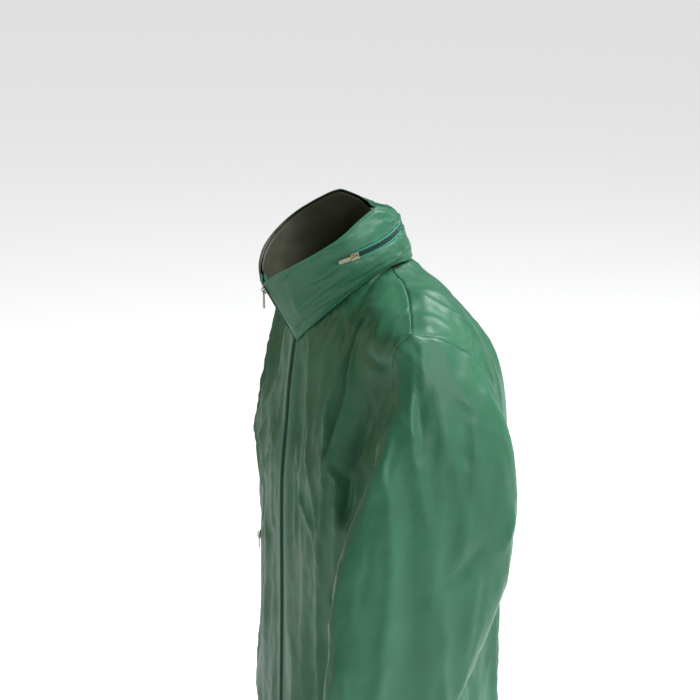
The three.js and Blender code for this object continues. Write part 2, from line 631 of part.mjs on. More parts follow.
const stopAt = edgeLine[0].clone().addScaledVector(edgeUp, -4.5);
for (const [side, sign] of [["left", 1], ["right", -1]]) {
  const stop = block([2.4, 2.6, 3], [sign * 2, 0, 0]);
  addMesh(`front_zip_top_stop_${side}`, placed(stop, stopAt, edgeUp, edgeOut), metal);
}
const bottomUp = edgeLine[edgeLine.length - 2].clone().sub(edgeLine[edgeLine.length - 1]).normalize();
const bottomOut = new THREE.Vector3(1, 0, 0).cross(bottomUp);
const boxAt = edgeLine[edgeLine.length - 1].clone().addScaledVector(bottomUp, BOX_LENGTH / 2);
const zipBox = block([4.6, BOX_LENGTH - 2, 4.4], [-1, 0, 0]);
const zipPin = block([1.4, BOX_LENGTH - 2, 2], [2.3, 0, 0]);
addMesh("front_zip_box", placed(zipBox, boxAt, bottomUp, bottomOut), metal);
addMesh("front_zip_pin", placed(zipPin, boxAt, bottomUp, bottomOut), metal);

// A wind flap behind the zip joins the two sides' facings.
const FLAP_DEPTH = 6;
const flapLines = [edgeColumn, secondColumn].map((line) => stretch(line, 2, edgeLength - 3));
const flapEdge = flapLines[1].map((p, i) => flapLines[0][i].clone().lerp(p, 0.5));
const flapHalf = fromColumns([flapLines[0], flapEdge]);
const flapGrid = flapHalf.map((row, j) => [...mirrored(flapHalf)[j], ...row]);
addMesh("wind_flap", sheet(flapGrid, { depth: FLAP_DEPTH, wall: THIN_CLOTH }), cloth);

// ---------- hood zip ----------
const ZIP_STEPS = 30;
const zipAngles = (from) =>
  Array.from({ length: ZIP_STEPS + 1 }, (_, i) => mix(from, 360 - from, i / ZIP_STEPS));
function zipBand(from, low, high, wall) {
  const grid = [high, low].map((height) => zipAngles(from).map((a) => zipPoint(a, height)));
  return sheet(grid, { wall });
}
addMesh("hood_zip_teeth_upper", zipBand(HOOD_ZIP.start - 1, TOOTH.inner, TOOTH.outer, TOOTH.thick), teeth);
addMesh("hood_zip_teeth_lower", zipBand(HOOD_ZIP.start - 1, -TOOTH.outer, -TOOTH.inner, TOOTH.thick), teeth);
addMesh("hood_zip_tape_upper", zipBand(HOOD_ZIP.start - 3, TAPE_INNER, HOOD_ZIP.slot - 0.4, TAPE), tape);
addMesh("hood_zip_tape_lower", zipBand(HOOD_ZIP.start - 3, 0.4 - HOOD_ZIP.slot, -TAPE_INNER, TAPE), tape);

const alongZip = (angle) => zipPoint(angle - 0.1).sub(zipPoint(angle + 0.1)).normalize();
const outOfZip = (angle) => zipPoint(angle).sub(zipCentre).normalize();
const SLIDER_ANGLE = HOOD_ZIP.start + 3.6;
const hoodForward = alongZip(SLIDER_ANGLE);
addSlider("hood_zip", zipPoint(SLIDER_ANGLE), hoodForward, outOfZip(SLIDER_ANGLE), hoodForward);
for (const [name, angle] of [["front", HOOD_ZIP.start - 1.8], ["far", 361.8 - HOOD_ZIP.start]]) {
  const stop = block([5.4, 1.8, 2.6]);
  addMesh(`hood_zip_${name}_stop`, placed(stop, zipPoint(angle), alongZip(angle), outOfZip(angle)), metal);
}

// ---------- rolled hood ----------
const ROLL = { height: -17, half: 10.5, sides: 10, from: 98, slack: 2.3, inset: 1.9 };
function rollRings() {
  const rings = [];
  neckRing.forEach((base, k) => {
    if (ringAngles[k] < ROLL.from) return;
    const heightOf = (p) => p.clone().sub(zipCentre).dot(zipAxis);
    const [low, high] = [heightOf(base), heightOf(topRing[k])];
    const inner = base.clone().lerp(topRing[k], (ROLL.height - low) / (high - low));
    const outer = zipPoint(ringAngles[k], ROLL.height);
    const across = outer.clone().sub(inner);
    const thick = across.length() / 2 - ROLL.slack;
    const out = across.normalize();
    const middle = inner.clone().add(outer).multiplyScalar(0.5).addScaledVector(out, -ROLL.inset);
    rings.push(
      Array.from({ length: ROLL.sides }, (_, i) => {
        const a = (2 * Math.PI * i) / ROLL.sides;
        const p = middle.clone().addScaledVector(out, thick * Math.cos(a));
        return p.addScaledVector(zipAxis, ROLL.half * Math.sin(a));
      }),
    );
  });
  const other = rings.map((ring) => ring.map((p) => new THREE.Vector3(-p.x, p.y, p.z))).reverse();
  return [...rings, ...other.slice(1)];
}
addMesh("rolled_hood", loft(rollRings()), cloth);

// ---------- hanging loop ----------
const LOOP = { width: 50, strap: 7, thick: 1.4, top: -6, foot: -26, y: 27 };
function loopShape() {
  const half = LOOP.width / 2;
  const { top, foot, thick } = LOOP;
  const shape = new THREE.Shape();
  shape.moveTo(-half, foot);
  shape.lineTo(-half, top - 8);
  shape.quadraticCurveTo(-half, top, -half + 9, top);
  shape.lineTo(half - 9, top);
  shape.quadraticCurveTo(half, top, half, top - 8);
  shape.lineTo(half, foot);
  shape.lineTo(half - thick, foot);
  shape.lineTo(half - thick, top - 8);
  shape.quadraticCurveTo(half - thick, top - thick, half - 9, top - thick);
  shape.lineTo(9 - half, top - thick);
  shape.quadraticCurveTo(thick - half, top - thick, thick - half, top - 8);
  shape.lineTo(thick - half, foot);
  return new THREE.ExtrudeGeometry(shape, { depth: LOOP.strap, bevelEnabled: false, curveSegments: 4 });
}
const loopBasis = new THREE.Matrix4().makeBasis(
  new THREE.Vector3(1, 0, 0),
  new THREE.Vector3(0, 0, 1),
  new THREE.Vector3(0, -1, 0),
);
loopBasis.setPosition(0, LOOP.y + LOOP.strap, 0);
addMesh("hanging_loop", loopShape().applyMatrix4(loopBasis), tape);

// ---------- hand pockets ----------
// Places on the front panel are counted in its rows and columns.
const POCKET = {
  top: [11.3, 6.3],
  bottom: [15.1, 7.6],
  middle: [13.1, 6.85],
  slot: 13,
  bag: { rows: [10.6, 16.4], columns: [3.4, 8.7] },
};
function pocketFrame() {
  const on = ([r, c]) => patch(frontLeft, [r, r + 0.01], [c, c + 0.01], [1, 1])[0][0];
  const [top, bottom] = [on(POCKET.top), on(POCKET.bottom)];
  const [row, column] = POCKET.middle;
  const middle = patch(frontLeft, [row, row + 0.2], [column, column + 0.2], [1, 1]);
  const out = normals(middle)[0][0];
  const up = top.clone().sub(bottom).normalize();
  out.addScaledVector(up, -out.dot(up)).normalize();
  const length = top.distanceTo(bottom);
  return { origin: top.clone().add(bottom).multiplyScalar(0.5), up, out, length };
}
const pocket = pocketFrame();
const flipped = (v) => new THREE.Vector3(-v.x, v.y, v.z);
const ringPlate = (width, length, holeWidth, holeLength, thick) => {
  const [x, y] = [width / 2, length / 2];
  const hole = [-holeWidth / 2, -holeLength / 2, holeWidth / 2, holeLength / 2];
  return plate([[-x, -y], [x, -y], [x, y], [-x, y]], thick, hole);
};
// The bag hangs deepest in its middle, and lies against the panel round its edge.
const BAG_CELLS = 6;
const bagGrid = patch(frontLeft, POCKET.bag.rows, POCKET.bag.columns, [BAG_CELLS, BAG_CELLS]);
const bulge = (k, steepness) => Math.min(1, Math.sin((Math.PI * k) / BAG_CELLS) * steepness);
const bagDepth = (j, i) => 2.2 + 7 * bulge(j, 1.6) * bulge(i, 2);

for (const side of ["left", "right"]) {
  const turn = side === "left" ? (v) => v.clone() : flipped;
  const [origin, up, out] = [pocket.origin, pocket.up, pocket.out].map(turn);
  const place = (geometry) => placed(geometry, origin, up, out);
  const panelGrid = side === "left" ? frontGrid : mirrored(frontGrid);
  const slot = place(block([POCKET.slot, pocket.length, 14]));
  addMesh(`front_panel_${side}`, cut(sheet(panelGrid), slot), cloth);
  const { length } = pocket;
  const tapeWidth = POCKET.slot - 0.8;
  const tapeRing = ringPlate(tapeWidth, length - 0.8, 2 * TAPE_INNER, length - 9, TAPE);
  addMesh(`pocket_zip_tape_${side}`, place(tapeRing), tape);
  const chain = ringPlate(2 * TOOTH.outer, length - 12, 2 * TOOTH.inner, length - 16, TOOTH.thick);
  addMesh(`pocket_zip_teeth_${side}`, place(chain), teeth);
  const sliderSpot = origin.clone().addScaledVector(up, length / 2 - 17);
  addSlider(`pocket_zip_${side}`, sliderSpot, up, out, up.clone().negate());
  const grid = side === "left" ? bagGrid : mirrored(bagGrid);
  const depth = side === "left" ? bagDepth : (j, i) => bagDepth(j, BAG_CELLS - i);
  addMesh(`pocket_bag_${side}`, sheet(grid, { depth, wall: THIN_CLOTH }), lining);
}

export default jacket;
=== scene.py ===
"""A lightweight green rain jacket as it hangs on a wearer: cloth panels, collar, hood zip and stitching.

Lengths in the tables are millimetres in the object's frame: +Z up, -Y to the front, +X to the wearer's left.
Every cloth surface is a grid of points. The dense grids share their seam points, get their folds together,
and are then thickened into separate pieces.
"""

import json
import math

import bpy
import numpy as np
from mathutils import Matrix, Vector, noise
from mathutils.kdtree import KDTree


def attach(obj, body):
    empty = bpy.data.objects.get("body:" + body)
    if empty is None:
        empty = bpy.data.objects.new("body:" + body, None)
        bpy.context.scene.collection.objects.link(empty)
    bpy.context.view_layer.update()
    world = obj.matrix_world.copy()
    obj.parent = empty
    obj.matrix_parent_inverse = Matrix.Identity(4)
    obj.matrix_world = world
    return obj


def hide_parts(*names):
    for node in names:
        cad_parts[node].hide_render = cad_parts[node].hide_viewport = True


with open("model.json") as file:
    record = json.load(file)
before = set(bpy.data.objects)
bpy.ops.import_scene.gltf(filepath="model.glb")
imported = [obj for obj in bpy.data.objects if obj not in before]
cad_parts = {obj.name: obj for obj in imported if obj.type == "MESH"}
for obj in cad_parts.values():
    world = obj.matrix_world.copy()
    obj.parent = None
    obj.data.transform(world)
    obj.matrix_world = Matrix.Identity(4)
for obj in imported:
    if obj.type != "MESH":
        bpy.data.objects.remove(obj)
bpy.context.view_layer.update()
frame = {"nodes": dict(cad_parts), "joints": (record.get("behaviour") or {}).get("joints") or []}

bl_info = {
    "name": "Rain Jacket",
    "version": (1, 0, 0),
    "blender": (4, 5, 0),
    "location": "View3D > Sidebar > Jacket",
    "description": "Builds the cloth, zips and stitching of a lightweight rain jacket",
    "category": "Object",
}

MM = 0.001

# ---------- pattern dimensions, shared with the frame ----------
FRONT_GAP = 6.5
NECK_SEAM = [
    (0, -118, -128), (30, -113, -111), (61, -92, -78), (81, -57, -43), (86, -26, -21),
    (80, 0, -13), (64, 29, -12), (39, 43, -16), (0, 50, -16),
]
COLLAR_TOP = [
    (0, -168, -40), (40, -158, -20), (70, -137, 0), (87, -109, 20), (92, -77, 41), (82, -52, 57),
    (76, -36, 70), (62, -9, 67), (44, 6, 58), (24, 8, 53), (0, 7, 53),
]
SHOULDER_ON_SEAM = 5
SHOULDER_ON_TOP = 6.5
ZIP_Y, ZIP_Z, ZIP_LEAN, ZIP_RADIUS, ZIP_START, ZIP_SLOT = -58, 11.5, 17, 98, 81, 6.5
ZIP_AT_SHOULDER = 116
SHOULDER_SEAM = [(82, -1, -13), (120, -3, -27), (160, -12, -44), (234, -40, -69)]
UNDERARM = (222, -12, -300)
SECTION_POWER = 2.5
SECTION_MIDDLE = -12
SECTIONS = [  # half width, front and back depth, height, height at the side
    (222, 128, 181, -334, -300),
    (231, 130, 176, -545, -540),
    (240, 134, 172, -770, -768),
]
UPPER_FRONT = [
    [(0, -123, -158), (54, -114, -136), (92, -84, -90), (102, -46, -42), (152, -58, -62), (194, -66, -80),
     (229, -64, -96)],
    [(0, -128, -198), (60, -120, -190), (106, -100, -160), (128, -86, -112), (162, -82, -108),
     (194, -76, -120), (217, -66, -140)],
    [(0, -132, -248), (62, -127, -244), (112, -120, -228), (148, -106, -200), (174, -92, -190),
     (194, -80, -190), (207, -68, -192)],
    [(0, -137, -298), (63, -137, -296), (116, -132, -290), (156, -116, -276), (180, -100, -264),
     (196, -82, -256), (207, -60, -256)],
]
UPPER_BACK = [
    [(0, 81, -50), (32, 80, -48), (64, 73, -44), (98, 52, -34), (150, 34, -46), (198, 18, -66),
     (238, 5, -85)],
    [(0, 129, -118), (42, 129, -114), (84, 126, -108), (120, 112, -98), (158, 90, -96), (196, 70, -104),
     (226, 56, -115)],
    [(0, 158, -182), (50, 158, -178), (96, 154, -172), (136, 143, -164), (168, 124, -162),
     (190, 108, -168), (205, 98, -179)],
    [(0, 168, -245), (54, 168, -240), (104, 163, -232), (144, 149, -224), (174, 130, -220),
     (192, 112, -222), (204, 98, -226)],
    [(0, 170, -298), (55, 170, -294), (108, 165, -289), (152, 148, -282), (184, 121, -275),
     (202, 92, -272), (211, 64, -272)],
]
NECK_COLUMNS = 6
SHOULDER_COLUMNS = 6
BODY_COLUMNS = NECK_COLUMNS + SHOULDER_COLUMNS
ARMHOLE_ROWS = 8
SIDE_ROWS = 11
SLEEVE_ROWS = 15
SLEEVE_POWER = 2.3
LEFT_SLEEVE = [  # middle, reach outwards and upwards on the outer side, half breadth
    ((260, -3, -250), 22, 76, 103),
    ((270, -20, -335), 34, 34, 126),
    ((277, -47, -430), 36, 12, 129),
    ((283, -74, -525), 35, 4, 112),
    ((287, -98, -605), 33, 0, 86),
    ((288, -114, -664), 30, 0, 58),
]
RIGHT_SLEEVE = [
    ((261, 24, -250), 22, 76, 84),
    ((268, 34, -335), 33, 34, 92),
    ((272, 38, -430), 35, 12, 94),
    ((275, 32, -525), 34, 4, 88),
    ((277, 22, -605), 32, 0, 76),
    ((278, 14, -664), 30, 0, 58),
]
CUFF_LENGTH = 42
CUFF_SLOPE = 0.26
CUFF_TAPER = 0.12
CUFF_PLEATS = 30
CLOTH = 0.9  # shown thickness of a cloth piece

# ---------- folds ----------
# Each fold is a crest (or, with a negative height, a valley) along a line on the cloth:
# points, reach to each side, height, and how sharp its crest is (1 is round, above 1 is crisp).
FOLDS = [
    # from the shoulder seam down the chest: two crisp crests with a deep fold between them
    ([(120, -72, -62), (122, -82, -90), (122, -98, -150), (118, -118, -200), (126, -125, -235),
      (134, -128, -300)], 8, 4.0, 1.6),
    ([(140, -70, -66), (143, -86, -110), (152, -98, -160), (150, -112, -213), (143, -122, -265),
      (132, -129, -330), (128, -131, -380)], 8, 6.5, 1.6),
    ([(131, -72, -68), (134, -86, -108), (138, -102, -160), (134, -116, -213), (132, -124, -255)],
     9, -7.0, 1.3),
    # the hollow between the chest and the arm
    ([(213, -66, -128), (202, -72, -160), (192, -82, -196), (182, -96, -233), (172, -106, -275)],
     26, -9.0, 1.0),
    ([(208, -66, -122), (190, -72, -118), (172, -80, -112)], 9, -4.0, 1.4),
    # low on the chest
    ([(60, -125, -200), (84, -130, -262), (108, -131, -317), (120, -128, -383), (124, -126, -450)],
     9, 3.5, 1.6),
    ([(36, -134, -250), (52, -138, -308), (76, -136, -347), (104, -131, -380), (120, -128, -420)],
     8, 3.0, 1.6),
    ([(30, -128, -190), (38, -134, -250), (40, -138, -330), (44, -140, -420)], 7, 2.5, 1.6),
    ([(24, -124, -150), (28, -130, -215), (26, -136, -290)], 6, -2.2, 1.4),
    # by the armpit
    ([(146, -122, -283), (158, -116, -292), (154, -116, -322), (156, -115, -360)], 8, 5.0, 1.6),
    ([(171, -104, -290), (168, -106, -324), (166, -109, -350)], 11, -9.0, 1.3),
    # at the head of the sleeve
    ([(228, -55, -84), (232, -52, -100)], 7, 2.6, 1.5),
    ([(239, -27, -79), (252, -33, -112), (262, -36, -150)], 8, 3.2, 1.5),
    ([(246, -45, -100), (260, -51, -141), (273, -56, -172), (286, -58, -202)], 10, 4.0, 1.5),
    ([(271, -46, -158), (283, -50, -190), (290, -51, -230)], 9, -3.0, 1.3),
    ([(296, -20, -200), (302, -26, -280), (304, -34, -360), (306, -46, -440)], 9, 2.6, 1.5),
    ([(296, 30, -190), (300, 24, -260), (303, 8, -330), (306, -8, -400)], 11, 3.0, 1.4),
]
BACK_FOLDS = [
    # over the back of the shoulder
    ([(148, 1, -40), (155, 13, -45), (171, 48, -66), (167, 82, -88)], 10, 3.0, 1.6),
    ([(178, 80, -97), (211, 66, -111), (232, 56, -120)], 12, -4.0, 1.3),
    # on the back of the sleeve and at the elbow
    ([(294, 89, -324), (300, 80, -343), (303, 70, -368)], 12, 5.0, 1.6),
    ([(302, 30, -360), (306, 10, -385), (304, -20, -400)], 14, -4.0, 1.3),
]
COLLAR_FOLDS = [
    # the collar's front: one crease from below its top edge, and long folds along the neck seam
    ([(51, -147, -26), (46, -140, -48), (38, -124, -90)], 7, 5.0, 1.5),
    ([(14, -127, -108), (34, -121, -92), (62, -101, -62), (80, -72, -38)], 6, 6.5, 1.4),
    ([(18, -131, -97), (38, -122, -81), (64, -102, -52), (82, -74, -27)], 5, -1.5, 1.3),
    ([(24, -136, -86), (44, -126, -70), (68, -104, -42), (84, -78, -16)], 6, 5.6, 1.4),
    ([(44, -138, -56), (62, -122, -42), (80, -98, -22)], 6, -1.5, 1.3),
    ([(58, -132, -38), (74, -112, -24), (88, -86, 0)], 7, 4.6, 1.4),
    ([(86, -60, -24), (92, -52, 0), (94, -60, 24)], 7, -1.5, 1.3),
]


def to_linear(colour):
    """A hex sRGB colour as a linear RGBA tuple."""
    channels = [int(colour[i : i + 2], 16) / 255 for i in (1, 3, 5)]
    return tuple(c / 12.92 if c <= 0.04045 else ((c + 0.055) / 1.055) ** 2.4 for c in channels) + (1.0,)


# ---------- curves and grids ----------
def catmull(points, closed=False, steps=24):
    """The centripetal smooth curve through some points, as a fine polyline."""
    p = np.asarray(points, float)
    if closed:
        p = np.vstack([p[-1], p, p[0], p[1]])
    else:
        p = np.vstack([2 * p[0] - p[1], p, 2 * p[-1] - p[-2]])
    out = []
    for i in range(1, len(p) - 2):
        a, b, c, d = p[i - 1 : i + 3]
        k = [max(np.linalg.norm(v - u), 1e-6) ** 0.5 for u, v in ((a, b), (b, c), (c, d))]
        m1 = (b - a) / k[0] - (c - a) / (k[0] + k[1]) + (c - b) / k[1]
        m2 = (c - b) / k[1] - (d - b) / (k[1] + k[2]) + (d - c) / k[2]
        m1, m2 = m1 * k[1], m2 * k[1]
        t = np.arange(steps)[:, None] / steps
        h = 2 * t**3 - 3 * t**2 + 1
        out.append(h * b + (t**3 - 2 * t**2 + t) * m1 + (3 * t**2 - 2 * t**3) * c + (t**3 - t**2) * m2)
    return np.vstack(out + ([] if closed else [p[-2][None]]))


def spaced(line, count):
    """Points spaced evenly along a polyline."""
    line = np.asarray(line, float)
    run = np.concatenate([[0], np.cumsum(np.linalg.norm(np.diff(line, axis=0), axis=1))])
    at = np.linspace(0, run[-1], count + 1)
    return np.stack([np.interp(at, run, line[:, k]) for k in range(3)], axis=1)


def stretch(points, a, b):
    """The part of the smooth curve through some points between point a and point b of them."""
    fine = catmull(points)
    return fine[int(round(a * 24)) : int(round(b * 24)) + 1]


def mirrored(grid):
    return grid[:, ::-1] * np.array([-1, 1, 1])


def zip_point(angle, height=0.0, radius=ZIP_RADIUS):
    a, lean = math.radians(angle), math.radians(ZIP_LEAN)
    out = np.array([math.sin(a), -math.cos(a) * math.cos(lean), -math.cos(a) * math.sin(lean)])
    axis = np.array([0, -math.sin(lean), math.cos(lean)])
    return np.array([0, ZIP_Y, ZIP_Z]) + radius * out + height * axis


def half_ring(points, shoulder_at):
    last = len(points) - 1
    front = spaced(stretch(points, 0, shoulder_at), NECK_COLUMNS)
    back = spaced(stretch(points, shoulder_at, last), NECK_COLUMNS)
    front[0][0] = FRONT_GAP
    back[-1][0] = 0
    return np.vstack([front, back[1:]])


NECK_RING = half_ring(NECK_SEAM, SHOULDER_ON_SEAM)
TOP_RING = half_ring(COLLAR_TOP, SHOULDER_ON_TOP)
RING_ANGLES = np.concatenate([
    np.linspace(0, ZIP_AT_SHOULDER, NECK_COLUMNS + 1),
    np.linspace(ZIP_AT_SHOULDER, 180, NECK_COLUMNS + 1)[1:],
])


def collar_column(k):
    """A column of the outer collar from the seam up, straight in front and bulging over the hood behind."""
    base, top, angle = NECK_RING[k], TOP_RING[k], RING_ANGLES[k]
    lower, upper = zip_point(angle, -ZIP_SLOT), zip_point(angle, ZIP_SLOT)
    total = np.linalg.norm(lower - base) + 2 * ZIP_SLOT + np.linalg.norm(top - upper)
    t = min(max((angle - 30) / 25, 0), 1)
    packed = t * t * (3 - 2 * t)
    low_share = np.linalg.norm(lower - base) / total
    high_share = low_share + 2 * ZIP_SLOT / total
    knots = [
        base,
        (base + (top - base) * low_share) * (1 - packed) + lower * packed,
        (base + (top - base) * high_share) * (1 - packed) + upper * packed,
        top,
    ]
    return np.vstack([spaced(stretch(knots, 0, 1), 3), spaced(stretch(knots, 2, 3), 3)])


def top_edge(side):
    ring = NECK_RING[: NECK_COLUMNS + 1] if side == "front" else NECK_RING[NECK_COLUMNS:][::-1]
    return np.vstack([ring, spaced(catmull(SHOULDER_SEAM), SHOULDER_COLUMNS)[1:]])


def section_row(section, side, start_x):
    half, front, back, z, side_z = section
    depth, sign = (front, -1) if side == "front" else (back, 1)
    a = np.linspace(0, math.pi / 2, 49)
    sine, cosine = np.sin(a).clip(0), np.cos(a).clip(0)
    points = np.stack(
        [
            half * sine ** (2 / SECTION_POWER),
            SECTION_MIDDLE + sign * depth * cosine ** (2 / SECTION_POWER),
            z + (side_z - z) * sine**3,
        ],
        axis=1,
    )
    row = spaced(points, BODY_COLUMNS)
    row[0][0] = start_x
    return row


def half_panel(upper, side):
    """A front or back half as a grid: ribs run down from the neck or shoulder to the hem."""
    start_x = FRONT_GAP if side == "front" else 0
    rows = [top_edge(side)]
    for points in upper:
        points = np.array(points, float)
        points[0][0] = start_x
        fine = catmull(points)
        rows.append(fine[:: (len(fine) - 1) // BODY_COLUMNS])
    rows += [section_row(section, side, start_x) for section in SECTIONS]
    chest = len(upper) + 1
    rows[chest][BODY_COLUMNS] = UNDERARM
    ribs = []
    for i in range(BODY_COLUMNS + 1):
        points = [row[i] for row in rows]
        lower = catmull(points[chest:]) if i == BODY_COLUMNS else stretch(points, chest, len(points) - 1)
        upper_part = spaced(stretch(points, 0, chest), ARMHOLE_ROWS)
        ribs.append(np.vstack([upper_part, spaced(lower, SIDE_ROWS)[1:]]))
    return np.stack(ribs, axis=1)


def sleeve_ring(ring, count, inset=0.0, down=0.0):
    (x, y, z), out, up, breadth = ring
    a = 2 * math.pi * np.arange(count) / count
    c, s = np.cos(a), np.sin(a)
    c, s = (np.sign(v) * np.abs(v) ** (2 / SLEEVE_POWER) for v in (c, s))
    breadth = breadth - inset - down * CUFF_TAPER
    return np.stack([x + (out - inset) * c, y - CUFF_SLOPE * down - breadth * s, z - down + up * c], axis=1)


def refine(grid, times, closed=False):
    """The smooth surface through a grid, with each cell divided the given number of times both ways."""

    def along(g, close):
        lines = [catmull(line, close, times) for line in g]
        return np.stack(lines)

    rows = along(grid, closed)
    return np.swapaxes(along(np.swapaxes(rows, 0, 1), False), 0, 1)


class Cloth:
    """Grids of indices into one list of points, so that pieces sewn together share their seam points."""

    def __init__(self):
        self.points = np.zeros((0, 3))
        self.grids = {}
        self.closed = {}

    def add(self, name, grid, closed=False):
        rows, columns = grid.shape[:2]
        start = len(self.points)
        self.points = np.vstack([self.points, grid.reshape(-1, 3)])
        self.grids[name] = np.arange(start, start + rows * columns).reshape(rows, columns)
        self.closed[name] = closed

    def weld(self, reach=0.4):
        """Points that lie together become one."""
        tree = KDTree(len(self.points))
        for i, p in enumerate(self.points):
            tree.insert(p, i)
        tree.balance()
        first = np.arange(len(self.points))
        for i, p in enumerate(self.points):
            near = min(k for _, k, _ in tree.find_range(p, reach))
            first[i] = first[near]
        kept, where = np.unique(first, return_inverse=True)
        self.points = self.points[kept]
        self.grids = {name: where[grid] for name, grid in self.grids.items()}

    def quads(self, names=None):
        faces = []
        for name in names or self.grids:
            g = self.grids[name]
            if self.closed[name]:
                g = np.hstack([g, g[:, :1]])
            faces.append(np.stack([g[:-1, :-1], g[1:, :-1], g[1:, 1:], g[:-1, 1:]], axis=-1).reshape(-1, 4))
        return np.vstack(faces)

    def normals(self):
        quads = self.quads()
        p = self.points
        face = np.cross(p[quads[:, 1]] - p[quads[:, 3]], p[quads[:, 2]] - p[quads[:, 0]])
        total = np.zeros_like(p)
        for k in range(4):
            np.add.at(total, quads[:, k], face)
        return total / np.linalg.norm(total, axis=1, keepdims=True).clip(1e-9)


DIVISIONS = 7  # of each grid cell, which makes cloth cells of about 4 mm


def build_cloth():
    """The body and sleeves as one sewn cloth."""
    cloth = Cloth()
    front = refine(half_panel(UPPER_FRONT, "front"), DIVISIONS)
    back = refine(half_panel(UPPER_BACK, "back"), DIVISIONS)
    cloth.add("front_left", front)
    cloth.add("front_right", mirrored(front))
    cloth.add("back", np.hstack([back[:, ::-1], (back * np.array([-1, 1, 1]))[:, 1:]]))
    arm = ARMHOLE_ROWS * DIVISIONS
    hole = np.vstack([front[:arm, -1], back[arm:0:-1, -1]])
    count = len(hole)
    for side, rings in (("left", LEFT_SLEEVE), ("right", RIGHT_SLEEVE)):
        coarse = [hole[::DIVISIONS]] + [sleeve_ring(ring, 2 * ARMHOLE_ROWS) for ring in rings]
        coarse = np.stack(coarse)
        ribs = [spaced(catmull(coarse[:, i]), SLEEVE_ROWS) for i in range(coarse.shape[1])]
        sleeve = refine(np.stack(ribs, axis=1), DIVISIONS, closed=True)[:, :count]
        # The first rows meet the armhole exactly.
        shift = hole - sleeve[0]
        for j in range(2 * DIVISIONS):
            sleeve[j] += shift * (1 - j / (2 * DIVISIONS))
        sleeve = sleeve[:, ::-1]
        cloth.add("sleeve_" + side, sleeve if side == "left" else mirrored(sleeve), closed=True)
    cloth.weld()
    return cloth


def distance_to_line(points, line):
    """Distance from each point to a polyline, and how far along it the nearest place is, from 0 to 1."""
    line = np.asarray(line, float)
    lengths = np.linalg.norm(np.diff(line, axis=0), axis=1)
    before = np.concatenate([[0], np.cumsum(lengths)])
    best = np.full(len(points), 1e9)
    along = np.zeros(len(points))
    for i, (a, b) in enumerate(zip(line[:-1], line[1:])):
        t = ((points - a) @ (b - a) / lengths[i] ** 2).clip(0, 1)
        d = np.linalg.norm(points - (a + t[:, None] * (b - a)), axis=1)
        nearer = d < best
        best[nearer] = d[nearer]
        along[nearer] = (before[i] + t[nearer] * lengths[i]) / before[-1]
    return best, along


def onto(points, normals, line):
    """A line brought onto the cloth, along the cloth's normals."""
    placed = []
    for p in line:
        near = np.argmin(((points - p) ** 2).sum(axis=1))
        placed.append(p - normals[near] * ((p - points[near]) @ normals[near]))
    return np.array(placed)


def fold(points, normals, line, reach, height, sharp):
    """Raises the cloth along a line. Both ends fade out."""
    fine = onto(points, normals, catmull(line, steps=8))
    distance, along = distance_to_line(points, fine)
    near = distance < 2.6 * reach
    shape = np.exp(-((distance[near] / reach) ** (2 / sharp)) * 2.0)
    ends = np.sin(np.pi * (0.12 + 0.76 * along[near])) ** 0.7
    points[near] += normals[near] * (height * shape * ends)[:, None]
    return points


def ridge(p, across, down, seed, warp=0.0):
    """A noise with crisp crests, drawn out down the cloth. It runs from about -0.6 to 0.4."""
    q = Vector((p[0] / across, p[1] / across, p[2] / down)) + Vector((seed, seed * 0.7, -seed))
    if warp:
        q += warp * Vector((noise.noise(q * 0.9), noise.noise(q * 0.9 + Vector((5, 2, 1))), 0))
    return 0.4 - 1.9 * abs(noise.noise(q))


def rumple(points, normals, amount):
    """Long hanging folds that deepen towards the hem, and small irregular creases."""
    moved = points.copy()
    for i, p in enumerate(points):
        hang = 1.6 + 2.6 * min(max((-150 - p[2]) / 450, 0), 1)
        long = hang * ridge(p, 62, 420, 4.2, 0.5)
        middle = 0.75 * ridge(p, 34, 78, 9.1, 0.9)
        small = 0.22 * ridge(p, 13, 26, 2.6, 0.6)
        moved[i] += normals[i] * amount * (long + middle + small)
    return moved


def add_mesh(name, vertices, faces, material, body="jacket", smooth=True):
    mesh = bpy.data.meshes.new(name)
    mesh.from_pydata([tuple(v) for v in vertices], [], [tuple(int(i) for i in f) for f in faces])
    mesh.update()
    if smooth:
        mesh.polygons.foreach_set("use_smooth", [True] * len(mesh.polygons))
    piece = bpy.data.objects.new(name, mesh)
    bpy.context.scene.collection.objects.link(piece)
    mesh.materials.append(material)
    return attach(piece, body)


def grid_normals(grid, closed=False):
    down = np.gradient(grid, axis=0)
    if closed:
        across = np.roll(grid, -1, axis=1) - np.roll(grid, 1, axis=1)
    else:
        across = np.gradient(grid, axis=1)
    normal = np.cross(down, across)
    return normal / np.linalg.norm(normal, axis=2, keepdims=True).clip(1e-9)


